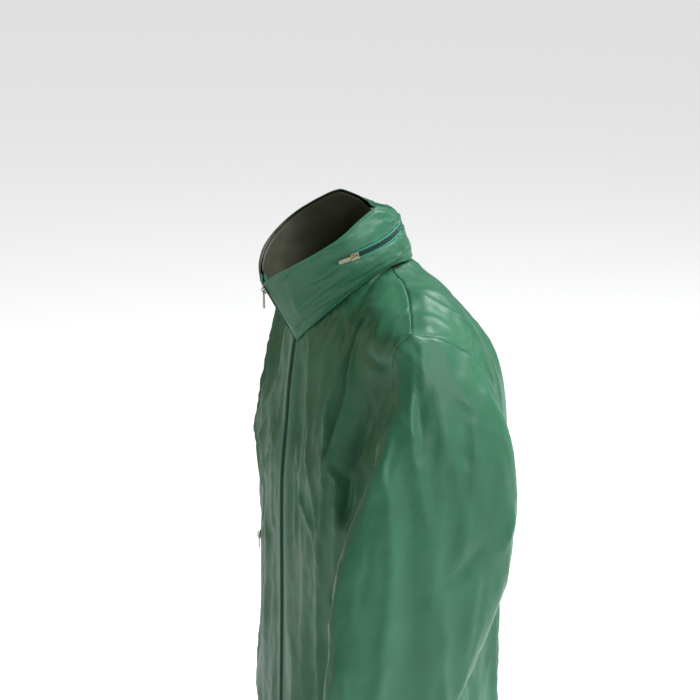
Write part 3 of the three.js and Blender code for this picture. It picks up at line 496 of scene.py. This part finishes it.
def shell(name, grid, closed=False, thickness=CLOTH, depth=0.0, hole=None, outside="nylon", inside="lining"):
    """A closed thin piece on a grid of points in millimetres, with its outer face depth inside the grid."""
    rows, columns = grid.shape[:2]
    wide = columns if closed else columns - 1
    normal = grid_normals(grid, closed)
    outer = grid - normal * depth
    inner = outer - normal * thickness
    vertices = np.vstack([outer.reshape(-1, 3), inner.reshape(-1, 3)]) * MM
    size = rows * columns
    there = np.ones((rows - 1, wide), bool) if hole is None else ~hole

    def present(j, i):
        if closed:
            i %= columns
        return 0 <= j < rows - 1 and 0 <= i < wide and there[j, i]

    outer_faces, inner_faces, rim_faces = [], [], []
    for j in range(rows - 1):
        for i in range(wide):
            if not there[j, i]:
                continue
            a, b = j * columns + i, (j + 1) * columns + i
            c, d = (j + 1) * columns + (i + 1) % columns, j * columns + (i + 1) % columns
            outer_faces.append((a, b, c, d))
            inner_faces.append((a + size, d + size, c + size, b + size))
            sides = ((a, d, j - 1, i), (c, b, j + 1, i), (b, a, j, i - 1), (d, c, j, i + 1))
            for u, v, nj, ni in sides:
                if not present(nj, ni):
                    rim_faces.append((u, v, v + size, u + size))
    faces = outer_faces + inner_faces + rim_faces
    used = np.unique(np.array(faces))
    renumber = np.zeros(2 * size, int)
    renumber[used] = np.arange(len(used))
    piece = add_mesh(name, vertices[used], renumber[np.array(faces)], MATERIALS[outside])
    piece.data.materials.append(MATERIALS[inside])
    inside_from, rim_from = len(outer_faces), len(outer_faces) + len(inner_faces)
    piece.data.polygons.foreach_set(
        "material_index", [1 if inside_from <= k < rim_from else 0 for k in range(len(faces))]
    )
    sharp = np.zeros(len(faces), bool)
    sharp[rim_from:] = True
    piece.data.polygons.foreach_set("use_smooth", ~sharp)
    return piece


def line_on(grid, row=None, column=None, start=0.0, end=1.0, closed=False):
    """A line along a grid at a fractional row or column, from start to end, with the cloth's normals."""
    normal = grid_normals(grid, closed)

    def slice_of(values):
        if row is not None:
            k = int(math.floor(row))
            share = row - k
            return values[k] * (1 - share) + values[min(k + 1, len(values) - 1)] * share
        k = int(math.floor(column))
        share = column - k
        return values[:, k] * (1 - share) + values[:, min(k + 1, values.shape[1] - 1)] * share

    points, normals = slice_of(grid), slice_of(normal)
    if closed:
        points, normals = np.vstack([points, points[:1]]), np.vstack([normals, normals[:1]])
    last = len(points) - 1
    a, b = int(round(start * last)), int(round(end * last))
    return points[a : b + 1], normals[a : b + 1]


def frames_along(points, normals, pitch, phase=0.0):
    """Positions, directions along and normals at an even pitch along a line."""
    run = np.concatenate([[0], np.cumsum(np.linalg.norm(np.diff(points, axis=0), axis=1))])
    at = np.arange(phase + pitch / 2, run[-1] - pitch / 2, pitch)
    place = np.stack([np.interp(at, run, points[:, k]) for k in range(3)], axis=1)
    ahead = np.stack([np.interp(at + pitch / 4, run, points[:, k]) for k in range(3)], axis=1)
    behind = np.stack([np.interp(at - pitch / 4, run, points[:, k]) for k in range(3)], axis=1)
    normal = np.stack([np.interp(at, run, normals[:, k]) for k in range(3)], axis=1)
    along = ahead - behind
    along /= np.linalg.norm(along, axis=1, keepdims=True).clip(1e-9)
    normal -= along * (normal * along).sum(axis=1, keepdims=True)
    normal /= np.linalg.norm(normal, axis=1, keepdims=True).clip(1e-9)
    return place, along, normal


def repeat(name, template, places, finish):
    """One piece made of many copies of a small shape. Its X lies across, its Y along and its Z out."""
    shape = np.array([v.co for v in template.data.vertices])
    polygons = [tuple(p.vertices) for p in template.data.polygons]
    vertices, faces = [], []
    for place, along, normal in zip(*places):
        across = np.cross(along, normal)
        turned = shape[:, :1] * across + shape[:, 1:2] * along + shape[:, 2:] * normal
        start = len(vertices) * len(shape)
        vertices.append((turned + place) * MM)
        faces += [tuple(i + start for i in polygon) for polygon in polygons]
    bpy.data.objects.remove(template)
    return add_mesh(name, np.vstack(vertices), faces, MATERIALS[finish])


def merge_places(list_of_places):
    return tuple(np.vstack([places[k] for places in list_of_places]) for k in range(3))


# ---------- materials ----------
def node(tree, kind, **values):
    """Adds a node and sets its properties, or its input sockets where the name is a socket's."""
    made = tree.nodes.new(kind)
    for key, value in values.items():
        if key in made.inputs:
            made.inputs[key].default_value = value
        else:
            setattr(made, key, value)
    return made


def nylon(name, dark, light, roughness, sheen=0.06):
    """Coated nylon taffeta: satin, with a fine plain weave and faint crumples in the coating."""
    material = bpy.data.materials.new(name)
    material.use_nodes = True
    tree = material.node_tree
    shader = tree.nodes["Principled BSDF"]
    shader.inputs["Roughness"].default_value = roughness
    shader.inputs["Specular IOR Level"].default_value = 0.3
    shader.inputs["Sheen Weight"].default_value = sheen
    shader.inputs["Sheen Roughness"].default_value = 0.4
    shader.inputs["Sheen Tint"].default_value = to_linear("#dff5ea")
    where = node(tree, "ShaderNodeTexCoord")
    cloudy = node(tree, "ShaderNodeTexNoise", Scale=9.0, Detail=3.0, Roughness=0.5)
    tree.links.new(where.outputs["Object"], cloudy.inputs["Vector"])
    ramp = node(tree, "ShaderNodeValToRGB")
    ramp.color_ramp.elements[0].color = to_linear(dark)
    ramp.color_ramp.elements[0].position = 0.3
    ramp.color_ramp.elements[1].color = to_linear(light)
    ramp.color_ramp.elements[1].position = 0.7
    tree.links.new(cloudy.outputs["Fac"], ramp.inputs["Fac"])
    tree.links.new(ramp.outputs["Color"], shader.inputs["Base Color"])
    crumple = node(tree, "ShaderNodeTexNoise", Scale=55.0, Detail=4.0, Roughness=0.6, Distortion=0.6)
    tree.links.new(where.outputs["Object"], crumple.inputs["Vector"])
    weave = node(tree, "ShaderNodeTexNoise", Scale=2200.0, Detail=0.0)
    tree.links.new(where.outputs["Object"], weave.inputs["Vector"])
    soft = node(tree, "ShaderNodeBump", Strength=0.35, Distance=0.0012)
    tree.links.new(crumple.outputs["Fac"], soft.inputs["Height"])
    fine = node(tree, "ShaderNodeBump", Strength=0.25, Distance=0.0001)
    tree.links.new(weave.outputs["Fac"], fine.inputs["Height"])
    tree.links.new(soft.outputs["Normal"], fine.inputs["Normal"])
    tree.links.new(fine.outputs["Normal"], shader.inputs["Normal"])
    return material


def plain(name, colour, roughness, metallic=0.0, grain=0.15, grain_scale=900.0):
    """A plain finish with a faint grain in its roughness and surface."""
    material = bpy.data.materials.new(name)
    material.use_nodes = True
    tree = material.node_tree
    shader = tree.nodes["Principled BSDF"]
    shader.inputs["Base Color"].default_value = to_linear(colour)
    shader.inputs["Roughness"].default_value = roughness
    shader.inputs["Metallic"].default_value = metallic
    where = node(tree, "ShaderNodeTexCoord")
    grainy = node(tree, "ShaderNodeTexNoise", Scale=grain_scale, Detail=2.0)
    tree.links.new(where.outputs["Object"], grainy.inputs["Vector"])
    bump = node(tree, "ShaderNodeBump", Strength=grain, Distance=0.0002)
    tree.links.new(grainy.outputs["Fac"], bump.inputs["Height"])
    tree.links.new(bump.outputs["Normal"], shader.inputs["Normal"])
    return material


MATERIALS = {}


def make_materials():
    # Thin nylon taffeta with a polyurethane coating: satin green.
    MATERIALS["nylon"] = nylon("Coated nylon taffeta", "#28583f", "#2e6448", 0.46)
    # The inside of the same cloth, and the facings: a darker coated reverse, with painted shade and a painted
    # warm reflection making it a dark olive-brown.
    MATERIALS["lining"] = nylon("Taffeta lining with painted shade", "#2a2b1c", "#33331f", 0.55, sheen=0.1)
    # Woven zip tape, teal green.
    MATERIALS["tape"] = plain("Woven zip tape", "#2f7a66", 0.8, grain=0.5)
    # Moulded coil teeth.
    MATERIALS["teeth"] = plain("Nylon coil teeth", "#1c4636", 0.42)
    # Zip sliders and pullers: antique nickel.
    MATERIALS["metal"] = plain("Antique nickel", "#8d8a74", 0.32, metallic=1.0, grain=0.1)
    # Knitted elastic in the cuffs.
    MATERIALS["elastic"] = plain("Knitted elastic", "#c9c8bd", 0.85, grain=0.8, grain_scale=500.0)
    # Blank woven label.
    MATERIALS["label"] = plain("Woven label satin", "#cfcdc2", 0.55, grain=0.4)
    # Polyester sewing thread.
    MATERIALS["thread"] = plain("Polyester thread", "#5f9c80", 0.6, grain=0.3)
    # Studio floor and wall.
    MATERIALS["studio"] = plain("White studio paper", "#f2f2f0", 0.9, grain=0.0)
    # Lit from behind, as a light table is.
    shader = MATERIALS["studio"].node_tree.nodes["Principled BSDF"]
    shader.inputs["Emission Color"].default_value = to_linear("#ffffff")
    shader.inputs["Emission Strength"].default_value = 0.6


SHOWN_AS = {
    "tape": ["tape", "hanging_loop"],
    "teeth": ["teeth"],
    "metal": ["slider", "puller", "stop", "zip_box", "zip_pin"],
    "elastic": ["cuff_elastic"],
    "label": ["neck_label"],
    "lining": ["collar_lining", "pocket_bag"],
    "nylon": ["panel", "sleeve", "cuff", "collar", "facing", "flap", "hood"],
}


def paint_frame():
    """Every frame piece gets its finish."""
    for name, piece in frame["nodes"].items():
        finish = next(key for key, words in SHOWN_AS.items() if any(word in name for word in words))
        piece.data.materials.clear()
        piece.data.materials.append(MATERIALS[finish])
        if finish == "metal":
            bevel = piece.modifiers.new("Rounded edges", "BEVEL")
            bevel.width = 0.25 * MM
            bevel.segments = 2
            bevel.limit_method = "ANGLE"


# ---------- stage ----------
def area_light(name, place, target, size, power, colour):
    data = bpy.data.lights.new(name, "AREA")
    data.shape = "RECTANGLE"
    data.size, data.size_y = size
    data.energy = power
    data.color = to_linear(colour)[:3]
    light = bpy.data.objects.new(name, data)
    bpy.context.scene.collection.objects.link(light)
    light.location = place
    light.rotation_euler = (Vector(target) - Vector(place)).to_track_quat("-Z", "Y").to_euler()
    return light


def build_stage():
    scene = bpy.context.scene
    camera_data = bpy.data.cameras.new("Camera")
    camera_data.lens = 107.9
    camera_data.sensor_width = 36
    camera_data.clip_end = 60
    camera = bpy.data.objects.new("Camera", camera_data)
    scene.collection.objects.link(camera)
    towards = Vector((0.8956, -0.3618, 0.2588))
    across = Vector((0.3746, 0.9272, 0.0))
    up = Vector((-0.2400, 0.0970, 0.9659))
    target = -0.0316 * across - 0.1506 * up
    camera.location = target + 3.0 * towards
    camera.rotation_euler = (-towards).to_track_quat("-Z", "Y").to_euler()
    scene.camera = camera

    world = bpy.data.worlds.new("World")
    scene.world = world
    world.use_nodes = True
    # An even white studio.
    sky = world.node_tree.nodes["Background"]
    sky.inputs["Color"].default_value = (1, 1, 1, 1)
    sky.inputs["Strength"].default_value = 0.16

    bpy.ops.mesh.primitive_plane_add(size=80, location=(0, 0, -1.0))
    floor = bpy.context.active_object
    floor.name = "Floor"
    floor.data.materials.append(MATERIALS["studio"])

    area_light("Key", (0.3, 1.7, 2.3), (0.1, 0, -0.2), (1.2, 1.2), 150, "#f6faff")
    area_light("Window", (2.9, 1.1, 1.3), (0.1, 0, -0.25), (1.2, 1.6), 74, "#f4f8ff")
    area_light("Fill", (-0.9, -2.6, 0.7), (0.1, 0, -0.25), (0.5, 0.9), 11, "#ffe0b0")
    scene.view_settings.view_transform = "Standard"


# ---------- the cloth ----------
def smooth_step(x, low, high):
    t = ((x - low) / (high - low)).clip(0, 1)
    return t * t * (3 - 2 * t)


def pocket_frame(side):
    """The middle of a pocket's zip, its directions up and out, and its length, from the frame's own tape."""
    tape = frame["nodes"]["pocket_zip_tape_" + side]
    points = np.array([tuple(v.co) for v in tape.data.vertices]) / MM
    middle = (points.min(axis=0) + points.max(axis=0)) / 2
    joint = next(j for j in frame["joints"] if j["name"] == f"pocket_{side}_slide")
    up = -np.array(joint["axis"], float)
    swing = next(j for j in frame["joints"] if j["name"] == f"pocket_{side}_puller_swing")
    across = np.array(swing["axis"], float)
    out = np.cross(across, up)
    if out[1] > 0:
        out = -out
    length = np.ptp((points - middle) @ up)
    return middle, up, out / np.linalg.norm(out), length


POCKET_GROOVE = 3.4  # how far the cloth lies behind a pocket's zip


def stillness(points):
    """How free the cloth is to fold: nothing by the front zip and the pocket zips, 1 away from them."""
    free = np.ones(len(points))
    front = (points[:, 1] < -60) | (points[:, 2] > -60)
    edge = smooth_step(np.abs(points[:, 0]), FRONT_GAP + 2, 34)
    free[front & (points[:, 1] < -40)] *= edge[front & (points[:, 1] < -40)]
    for side in ("left", "right"):
        middle, up, out, length = pocket_frame(side)
        ends = [middle - up * length / 2, middle + up * length / 2]
        distance, _ = distance_to_line(points, ends)
        free *= smooth_step(distance, 10, 45)
    return free


def seam_lines(cloth):
    """The seams of the body, as lists of point indices."""
    front, back = cloth.grids["front_left"], cloth.grids["back"]
    right = cloth.grids["front_right"]
    arm = ARMHOLE_ROWS * DIVISIONS
    neck = NECK_COLUMNS * DIVISIONS
    last = back.shape[1] - 1
    return {
        "shoulders": [front[0, neck:], right[0, : last // 2 - neck + 1]],
        "armholes": [front[: arm + 1, -1], back[: arm + 1, 0], right[: arm + 1, 0], back[: arm + 1, -1]],
        "sides": [front[arm:, -1], right[arm:, 0]],
        "neck": [
            front[0, : neck + 1],
            back[0, last // 2 - neck : last // 2 + neck + 1],
            right[0, -neck - 1 :],
        ],
    }


# Seam, reach, height and wave length of the puckers along it.
PUCKERS = [("armholes", 12, 0.6, 15.0), ("sides", 9, 0.5, 14.0), ("neck", 12, 0.8, 15.0)]


def fold_cloth(cloth, fold_height, rumple_height):
    normals = cloth.normals()
    rest = cloth.points.copy()
    free = stillness(rest)
    points = rumple(rest, normals, rumple_height)
    for line, reach, height, sharp in FOLDS:
        points = fold(points, normals, line, reach, height * fold_height, sharp)
    for line, reach, height, sharp in FOLDS + BACK_FOLDS:
        other = [(-x, y, z) for x, y, z in line]
        points = fold(points, normals, other, reach, height * fold_height * 0.8, sharp)
    for line, reach, height, sharp in BACK_FOLDS:
        points = fold(points, normals, line, reach, height * fold_height, sharp)
    points = rest + (points - rest) * free[:, None]
    for side in ("left", "right"):
        middle, up, out, length = pocket_frame(side)
        distance, _ = distance_to_line(rest, [middle - up * (length / 2 - 6), middle + up * (length / 2 - 6)])
        points -= normals * (POCKET_GROOVE * (1 - smooth_step(distance, 7, 12)))[:, None]
    # Ease gathered into the head of each sleeve, and puckers along the sewn seams.
    seams = seam_lines(cloth)
    for name, reach, height, wave in PUCKERS:
        for line in seams[name]:
            run = np.linalg.norm(np.diff(rest[line], axis=0), axis=1).sum()
            distance, along = distance_to_line(rest, rest[line])
            ripple = np.sin(along * run / wave * 2 * math.pi + 1.7 * np.sin(along * run / 41.0))
            points += normals * (height * ripple * np.exp(-((distance / reach) ** 2)) * free)[:, None]
    for name in seams:
        for line in seams[name]:
            points[line] -= normals[line] * 0.9
    cloth.points = points


def solid_cloth_pieces(cloth):
    made = {}
    cuts = {
        "front_left": ((0.34, 0.78), "front_panel_left"),
        "front_right": ((0.34, 0.78), "front_panel_right"),
        "back": ((0.72, 0.80), "back_panel"),
        "sleeve_left": ((0.60, 0.62), "sleeve_left"),
        "sleeve_right": ((0.52, 0.62), "sleeve_right"),
    }
    for name, (flat, stands_for) in cuts.items():
        closed = cloth.closed[name]
        grid = cloth.points[cloth.grids[name]]
        piece = shell("Cloth_" + name, grid, closed=closed)
        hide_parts(stands_for)
        made[name] = grid
    return made


def build_cuffs(side, rings):
    """The end of the sleeve gathered onto the elastic."""
    wrist = rings[-1]
    count = 2 * ARMHOLE_ROWS * DIVISIONS
    rows = []
    for j in range(9):
        ring = sleeve_ring(wrist, count, 0.0, 0.5 + (CUFF_LENGTH - 0.5) * j / 8)
        rows.append(ring[::-1])
    grid = np.stack(rows)
    if side == "right":
        grid = mirrored(grid)
    normal = grid_normals(grid, True)
    turn = np.arange(count) / count * 2 * math.pi
    pleat = np.sin(CUFF_PLEATS * turn + 1.3 * np.sin(3 * turn)) + 0.4 * np.sin(19 * turn + 1)
    swell = 0.6 + 0.4 * np.sin(np.linspace(0, math.pi, 9))
    grid = grid + normal * (1.3 * swell[:, None] * pleat[None, :])[:, :, None]
    piece = shell(f"Cloth_cuff_{side}", grid, closed=True)
    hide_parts(f"cuff_{side}")
    return grid


# ---------- collar ----------
COLLAR_DIVISIONS = 6
ROWS_ABOVE_ZIP = 3


def build_collar(made):
    left = np.stack([collar_column(k)[::-1] for k in range(len(NECK_RING))], axis=1)
    grid = refine(np.hstack([left, mirrored(left)[:, 1:]]), COLLAR_DIVISIONS)
    angles = np.concatenate([RING_ANGLES, 360 - RING_ANGLES[-2::-1]])
    columns = grid.shape[1]
    angle = np.interp(np.arange(columns) / COLLAR_DIVISIONS, np.arange(len(angles)), angles)
    row = np.arange(grid.shape[0]) / COLLAR_DIVISIONS
    normal = grid_normals(grid)
    from_slot = np.where(row < ROWS_ABOVE_ZIP, ROWS_ABOVE_ZIP - row, (row - ROWS_ABOVE_ZIP - 1).clip(0))
    packed = smooth_step(angle, 60, 100) * smooth_step(360 - angle, 60, 100)
    free = smooth_step(np.minimum(angle, 360 - angle), 3, 16)
    rise = np.zeros(grid.shape[:2])
    for j in range(grid.shape[0]):
        for i in range(columns):
            p = grid[j, i]
            q = Vector((angle[i] / 34, row[j] * 0.55, 3.1))
            r = Vector((angle[i] / 11, row[j] * 1.5, 8.4))
            crease = 0.55 - abs(noise.noise(q)) * 2
            small = 0.4 - abs(noise.noise(r)) * 2
            amount = 1.1 + 2.0 * packed[i]
            rise[j, i] = 1.7 * amount * crease * 0.6 + (0.8 + 0.9 * packed[i]) * small
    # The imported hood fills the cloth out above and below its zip, and the zip pulls it in.
    bulge = np.sin((from_slot / 3).clip(0, 1) * math.pi) ** 0.8
    rise += packed[None, :] * bulge[:, None] * 4.0
    # Close to the zip, the cloth is gathered into short pleats.
    ripple = np.sin(np.deg2rad(angle) * 31 + 2 * np.sin(np.deg2rad(angle) * 5))
    rise += 0.55 * packed[None, :] * np.exp(-((from_slot / 0.5) ** 2))[:, None] * ripple[None, :]
    # Down by the seam, long folds lie along the neck.
    base = smooth_step(row, 4.6, 6.6)
    wave = np.sin(row[:, None] * 7.5 + angle[None, :] / 21)
    rise += (2.2 * base * (1 - smooth_step(row, 6.75, 7.0)))[:, None] * wave * (1 - packed[None, :] * 0.5)
    edge = smooth_step(row, 0, 0.4)[:, None] * (1 - smooth_step(row, 6.8, 7.0))[:, None]
    grid = grid + normal * (rise * free[None, :] * (0.25 + 0.75 * edge))[:, :, None]
    flat = grid.reshape(-1, 3)
    for line, reach, height, sharp in COLLAR_FOLDS:
        for sign in (1, -1):
            fold(flat, normal.reshape(-1, 3), [(sign * x, y, z) for x, y, z in line], reach, height, sharp)
    grid = flat.reshape(grid.shape)
    in_slot = (row[:-1] >= ROWS_ABOVE_ZIP) & (row[:-1] < ROWS_ABOVE_ZIP + 1)
    behind = (angle[:-1] > ZIP_START) & (angle[1:] < 360 - ZIP_START)
    piece = shell("Cloth_collar", grid, hole=in_slot[:, None] & behind[None, :])
    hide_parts("collar_outer")
    made["collar"] = grid
    made["collar_angle"] = angle
    # The lining runs straight up the neck.
    share = np.linspace(0, 1, 13)[:, None, None]
    half = TOP_RING[None] * (1 - share) + NECK_RING[None] * share
    lining = refine(np.hstack([half, mirrored(half)[:, 1:]])[::2], 4)
    lining = lining[1:-1, 3:-3]
    creases = np.array([[noise.noise(Vector(p) / 22) for p in line] for line in lining])
    lining = lining - grid_normals(lining) * (3.4 + 1.2 * creases)[:, :, None]
    piece = shell("Cloth_collar_lining", lining, thickness=0.6, outside="lining")
    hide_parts("collar_lining")


# ---------- stitching ----------
def thread_template():
    bpy.ops.object.select_all(action="DESELECT")
    bpy.ops.mesh.primitive_uv_sphere_add(segments=6, ring_count=4, radius=1.0)
    stitch = bpy.context.active_object
    stitch.scale = (0.28, 1.25, 0.22)
    bpy.ops.object.transform_apply(location=False, rotation=False, scale=True)
    return stitch


STITCH_PITCH = 3.4


def stitch_line(grid, **where):
    points, normals = line_on(grid, **where)
    return frames_along(points + normals * 0.1, normals, STITCH_PITCH)


def build_stitching(made):
    lines = []
    neck = NECK_COLUMNS / BODY_COLUMNS
    arm = ARMHOLE_ROWS / (ARMHOLE_ROWS + SIDE_ROWS)
    front, right, back = made["front_left"], made["front_right"], made["back"]
    for grid, start in ((front, neck), (right, 0.0)):
        end = 1.0 if start else 1 - neck
        lines.append(stitch_line(grid, row=0.5, start=start, end=end))
    # Along the folded front edges, along the hem and round the armholes.
    for grid, column in ((front, 0.9), (right, right.shape[1] - 1.9)):
        lines.append(stitch_line(grid, column=column))
        last = grid.shape[0] - 1
        lines.append(stitch_line(grid, row=last - 3.5))
        lines.append(stitch_line(grid, row=last - 3.8))
    far_front, far_back = front.shape[1] - 1.6, back.shape[1] - 1.6
    for grid, column in ((front, far_front), (right, 0.6), (back, 0.6), (back, far_back)):
        lines.append(stitch_line(grid, column=column, start=0, end=arm))
    last = back.shape[0] - 1
    lines.append(stitch_line(back, row=last - 3.5))
    lines.append(stitch_line(back, row=last - 3.8))
    collar, angle = made["collar"], made["collar_angle"]
    start = float(np.searchsorted(angle, ZIP_START)) / (len(angle) - 1)
    for row in (17.3, 16.1, 24.7, 25.9):
        lines.append(stitch_line(collar, row=row, start=start, end=1 - start))
    lines.append(stitch_line(collar, row=0.8))
    lines.append(stitch_line(collar, row=41.2))
    for column in (1.2, len(angle) - 2.2):
        lines.append(stitch_line(collar, column=column))
    for side in ("left", "right"):
        middle, up, out, length = pocket_frame(side)
        grid = made["front_" + side]
        lines += pocket_stitches(grid, middle, up, out, length)
    threads = repeat("Topstitching", thread_template(), merge_places(lines), "thread")


def pocket_stitches(grid, middle, up, out, length):
    """A row of stitches down each side of a pocket's zip, laid on the panel."""
    points = grid.reshape(-1, 3)
    lines = []
    across = np.cross(up, out)
    for side in (-9.5, 9.5):
        wanted = [middle + across * side + up * at for at in np.linspace(-length / 2, length / 2, 30)]
        nearest = []
        for place in wanted:
            flat = (points - place) - ((points - place) @ out)[:, None] * out
            near = np.argsort((flat**2).sum(axis=1))[:4]
            height = float(((points[near] - place) @ out).mean())
            nearest.append(place + out * (height + 0.3))
        line = np.array(nearest)
        lines.append(frames_along(line, np.repeat(out[None], len(line), axis=0), STITCH_PITCH))
    return lines


# ---------- zips ----------
TOOTH_PITCH = 1.5


def tooth_template(reach):
    bpy.ops.object.select_all(action="DESELECT")
    bpy.ops.mesh.primitive_cylinder_add(vertices=8, radius=1.0, depth=1.0, rotation=(0, math.pi / 2, 0))
    tooth = bpy.context.active_object
    bpy.ops.object.transform_apply(location=False, rotation=True, scale=False)
    tooth.scale = (reach, 0.55, 1.15)
    bpy.ops.object.transform_apply(location=False, rotation=False, scale=True)
    return tooth


def teeth_row(name, points, normals, side, phase, stands_for):
    """A row of coil teeth to one side of the middle of a zip."""
    places, along, normal = frames_along(points, normals, TOOTH_PITCH, phase)
    across = np.cross(along, normal)
    piece = repeat(name, tooth_template(3.0), (places + across * side * 1.65, along, normal), "teeth")
    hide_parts(stands_for)


def front_edge():
    """The middle of the front zip, from the collar's top to the hem."""
    left = np.stack([collar_column(k)[::-1] for k in range(2)], axis=1)
    front = half_panel(UPPER_FRONT, "front")
    points = np.vstack([left[:, 0], front[1:, 0]])
    points[:, 0] = 0
    fine = spaced(catmull(points), 400)
    normals = np.cross(np.array([1.0, 0, 0]), -np.gradient(fine, axis=0))
    normals /= np.linalg.norm(normals, axis=1, keepdims=True)
    if normals[200][1] > 0:
        normals = -normals
    return fine, normals


def cut_ends(points, normals, start, end):
    run = np.concatenate([[0], np.cumsum(np.linalg.norm(np.diff(points, axis=0), axis=1))])
    keep = (run >= start) & (run <= run[-1] - end)
    return points[keep], normals[keep]


def build_zips(made):
    points, normals = cut_ends(*front_edge(), 6.5, 13)
    # The line runs down the front, so its across direction points to the wearer's right.
    teeth_row("Teeth_front_left", points, normals, -1, 0.0, "front_zip_teeth_left")
    teeth_row("Teeth_front_right", points, normals, 1, TOOTH_PITCH / 2, "front_zip_teeth_right")
    around = np.linspace(ZIP_START - 1, 361 - ZIP_START, 300)
    centre = np.array([0, ZIP_Y, ZIP_Z])
    points = np.array([zip_point(a) for a in around])
    normals = (points - centre) / ZIP_RADIUS
    teeth_row("Teeth_hood_upper", points, normals, -1, 0.0, "hood_zip_teeth_upper")
    teeth_row("Teeth_hood_lower", points, normals, 1, TOOTH_PITCH / 2, "hood_zip_teeth_lower")
    for side in ("left", "right"):
        middle, up, out, length = pocket_frame(side)
        line = np.array([middle + up * at for at in np.linspace(length / 2 - 7, 7 - length / 2, 60)])
        normals = np.repeat(out[None], len(line), axis=0)
        places = []
        for sign, phase in ((-1, 0.0), (1, TOOTH_PITCH / 2)):
            place, along, normal = frames_along(line, normals, TOOTH_PITCH, phase)
            places.append((place + np.cross(along, normal) * sign * 1.65, along, normal))
        piece = repeat("Teeth_pocket_" + side, tooth_template(3.0), merge_places(places), "teeth")
        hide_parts("pocket_zip_teeth_" + side)


# ---------- inside ----------
def build_inside(made):
    """The turned-up hem and the pocket bags follow the folded cloth."""
    spans = {"front_left": "left", "front_right": "right", "back": "back"}
    for name, side in spans.items():
        grid = made[name][-5:, 6:-6]
        piece = shell("Cloth_hem_" + side, grid, thickness=0.6, depth=1.6, outside="lining")
        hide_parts("hem_facing_" + side)
    for side in ("left", "right"):
        grid = made["front_" + side]
        first, last = (17, 45) if side == "left" else (15, 43)
        bag = grid[52:83, first:last]
        depth = 2.4 + 6 * np.outer(
            np.sin(np.linspace(0, math.pi, bag.shape[0])), np.sin(np.linspace(0, math.pi, bag.shape[1]))
        )
        bag = bag - grid_normals(bag) * depth[:, :, None]
        piece = shell("Cloth_pocket_bag_" + side, bag, thickness=0.5, outside="lining")
        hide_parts("pocket_bag_" + side)


# ---------- operators ----------
class JacketSettings(bpy.types.PropertyGroup):
    fold_height: bpy.props.FloatProperty(
        name="Fold height", description="How strong the long folds are", default=1.5, min=0.0, max=2.0
    )
    rumple_height: bpy.props.FloatProperty(
        name="Rumple",
        description="Height of the small irregular creases, in metres",
        default=0.003,
        unit="LENGTH",
        subtype="DISTANCE",
    )


MADE = {}


class JACKET_OT_finishes(bpy.types.Operator):
    """Makes the finishes and gives the frame's zips and facings theirs"""

    bl_idname = "jacket.finishes"
    bl_label = "Make Finishes"

    def execute(self, context):
        make_materials()
        paint_frame()
        return {"FINISHED"}


class JACKET_OT_stage(bpy.types.Operator):
    """Builds the floor, the lights and the camera"""

    bl_idname = "jacket.stage"
    bl_label = "Build Stage"

    def execute(self, context):
        build_stage()
        return {"FINISHED"}


class JACKET_OT_shell(bpy.types.Operator):
    """Builds the body, the sleeves and the cuffs from folded cloth"""

    bl_idname = "jacket.shell"
    bl_label = "Build Shell"

    def execute(self, context):
        settings = context.scene.jacket
        cloth = build_cloth()
        fold_cloth(cloth, settings.fold_height, settings.rumple_height / MM)
        MADE.update(solid_cloth_pieces(cloth))
        for side, rings in (("left", LEFT_SLEEVE), ("right", RIGHT_SLEEVE)):
            build_cuffs(side, rings)
        return {"FINISHED"}


class JACKET_OT_collar(bpy.types.Operator):
    """Builds the collar with its packed hood, and the collar's lining"""

    bl_idname = "jacket.collar"
    bl_label = "Build Collar"

    def execute(self, context):
        build_collar(MADE)
        return {"FINISHED"}


class JACKET_OT_inside(bpy.types.Operator):
    """Builds the turned-up hem and the pocket bags"""

    bl_idname = "jacket.inside"
    bl_label = "Build Inside"

    def execute(self, context):
        if "front_left" not in MADE:
            raise RuntimeError("build the shell first")
        build_inside(MADE)
        return {"FINISHED"}


class JACKET_OT_zips(bpy.types.Operator):
    """Builds the rows of zip teeth"""

    bl_idname = "jacket.zips"
    bl_label = "Build Zip Teeth"

    def execute(self, context):
        build_zips(MADE)
        return {"FINISHED"}


class JACKET_OT_stitching(bpy.types.Operator):
    """Sews the rows of topstitching"""

    bl_idname = "jacket.stitching"
    bl_label = "Sew Topstitching"

    def execute(self, context):
        if "collar" not in MADE:
            raise RuntimeError("build the shell and the collar first")
        build_stitching(MADE)
        return {"FINISHED"}


class JACKET_PT_panel(bpy.types.Panel):
    bl_label = "Rain Jacket"
    bl_idname = "JACKET_PT_panel"
    bl_space_type = "VIEW_3D"
    bl_region_type = "UI"
    bl_category = "Jacket"

    def draw(self, context):
        settings = context.scene.jacket
        self.layout.prop(settings, "fold_height")
        self.layout.prop(settings, "rumple_height")
        for operator in OPERATORS:
            self.layout.operator(operator.bl_idname)


OPERATORS = [
    JACKET_OT_finishes,
    JACKET_OT_stage,
    JACKET_OT_shell,
    JACKET_OT_collar,
    JACKET_OT_inside,
    JACKET_OT_zips,
    JACKET_OT_stitching,
]


def register():
    for made in [JacketSettings, *OPERATORS, JACKET_PT_panel]:
        bpy.utils.register_class(made)
    bpy.types.Scene.jacket = bpy.props.PointerProperty(type=JacketSettings)


def unregister():
    del bpy.types.Scene.jacket
    for made in reversed([JacketSettings, *OPERATORS, JACKET_PT_panel]):
        bpy.utils.unregister_class(made)


def main():
    register()
    bpy.ops.jacket.finishes()
    bpy.ops.jacket.stage()
    bpy.ops.jacket.shell()
    bpy.ops.jacket.collar()
    bpy.ops.jacket.inside()
    bpy.ops.jacket.zips()
    bpy.ops.jacket.stitching()


if __name__ == "__main__":
    main()
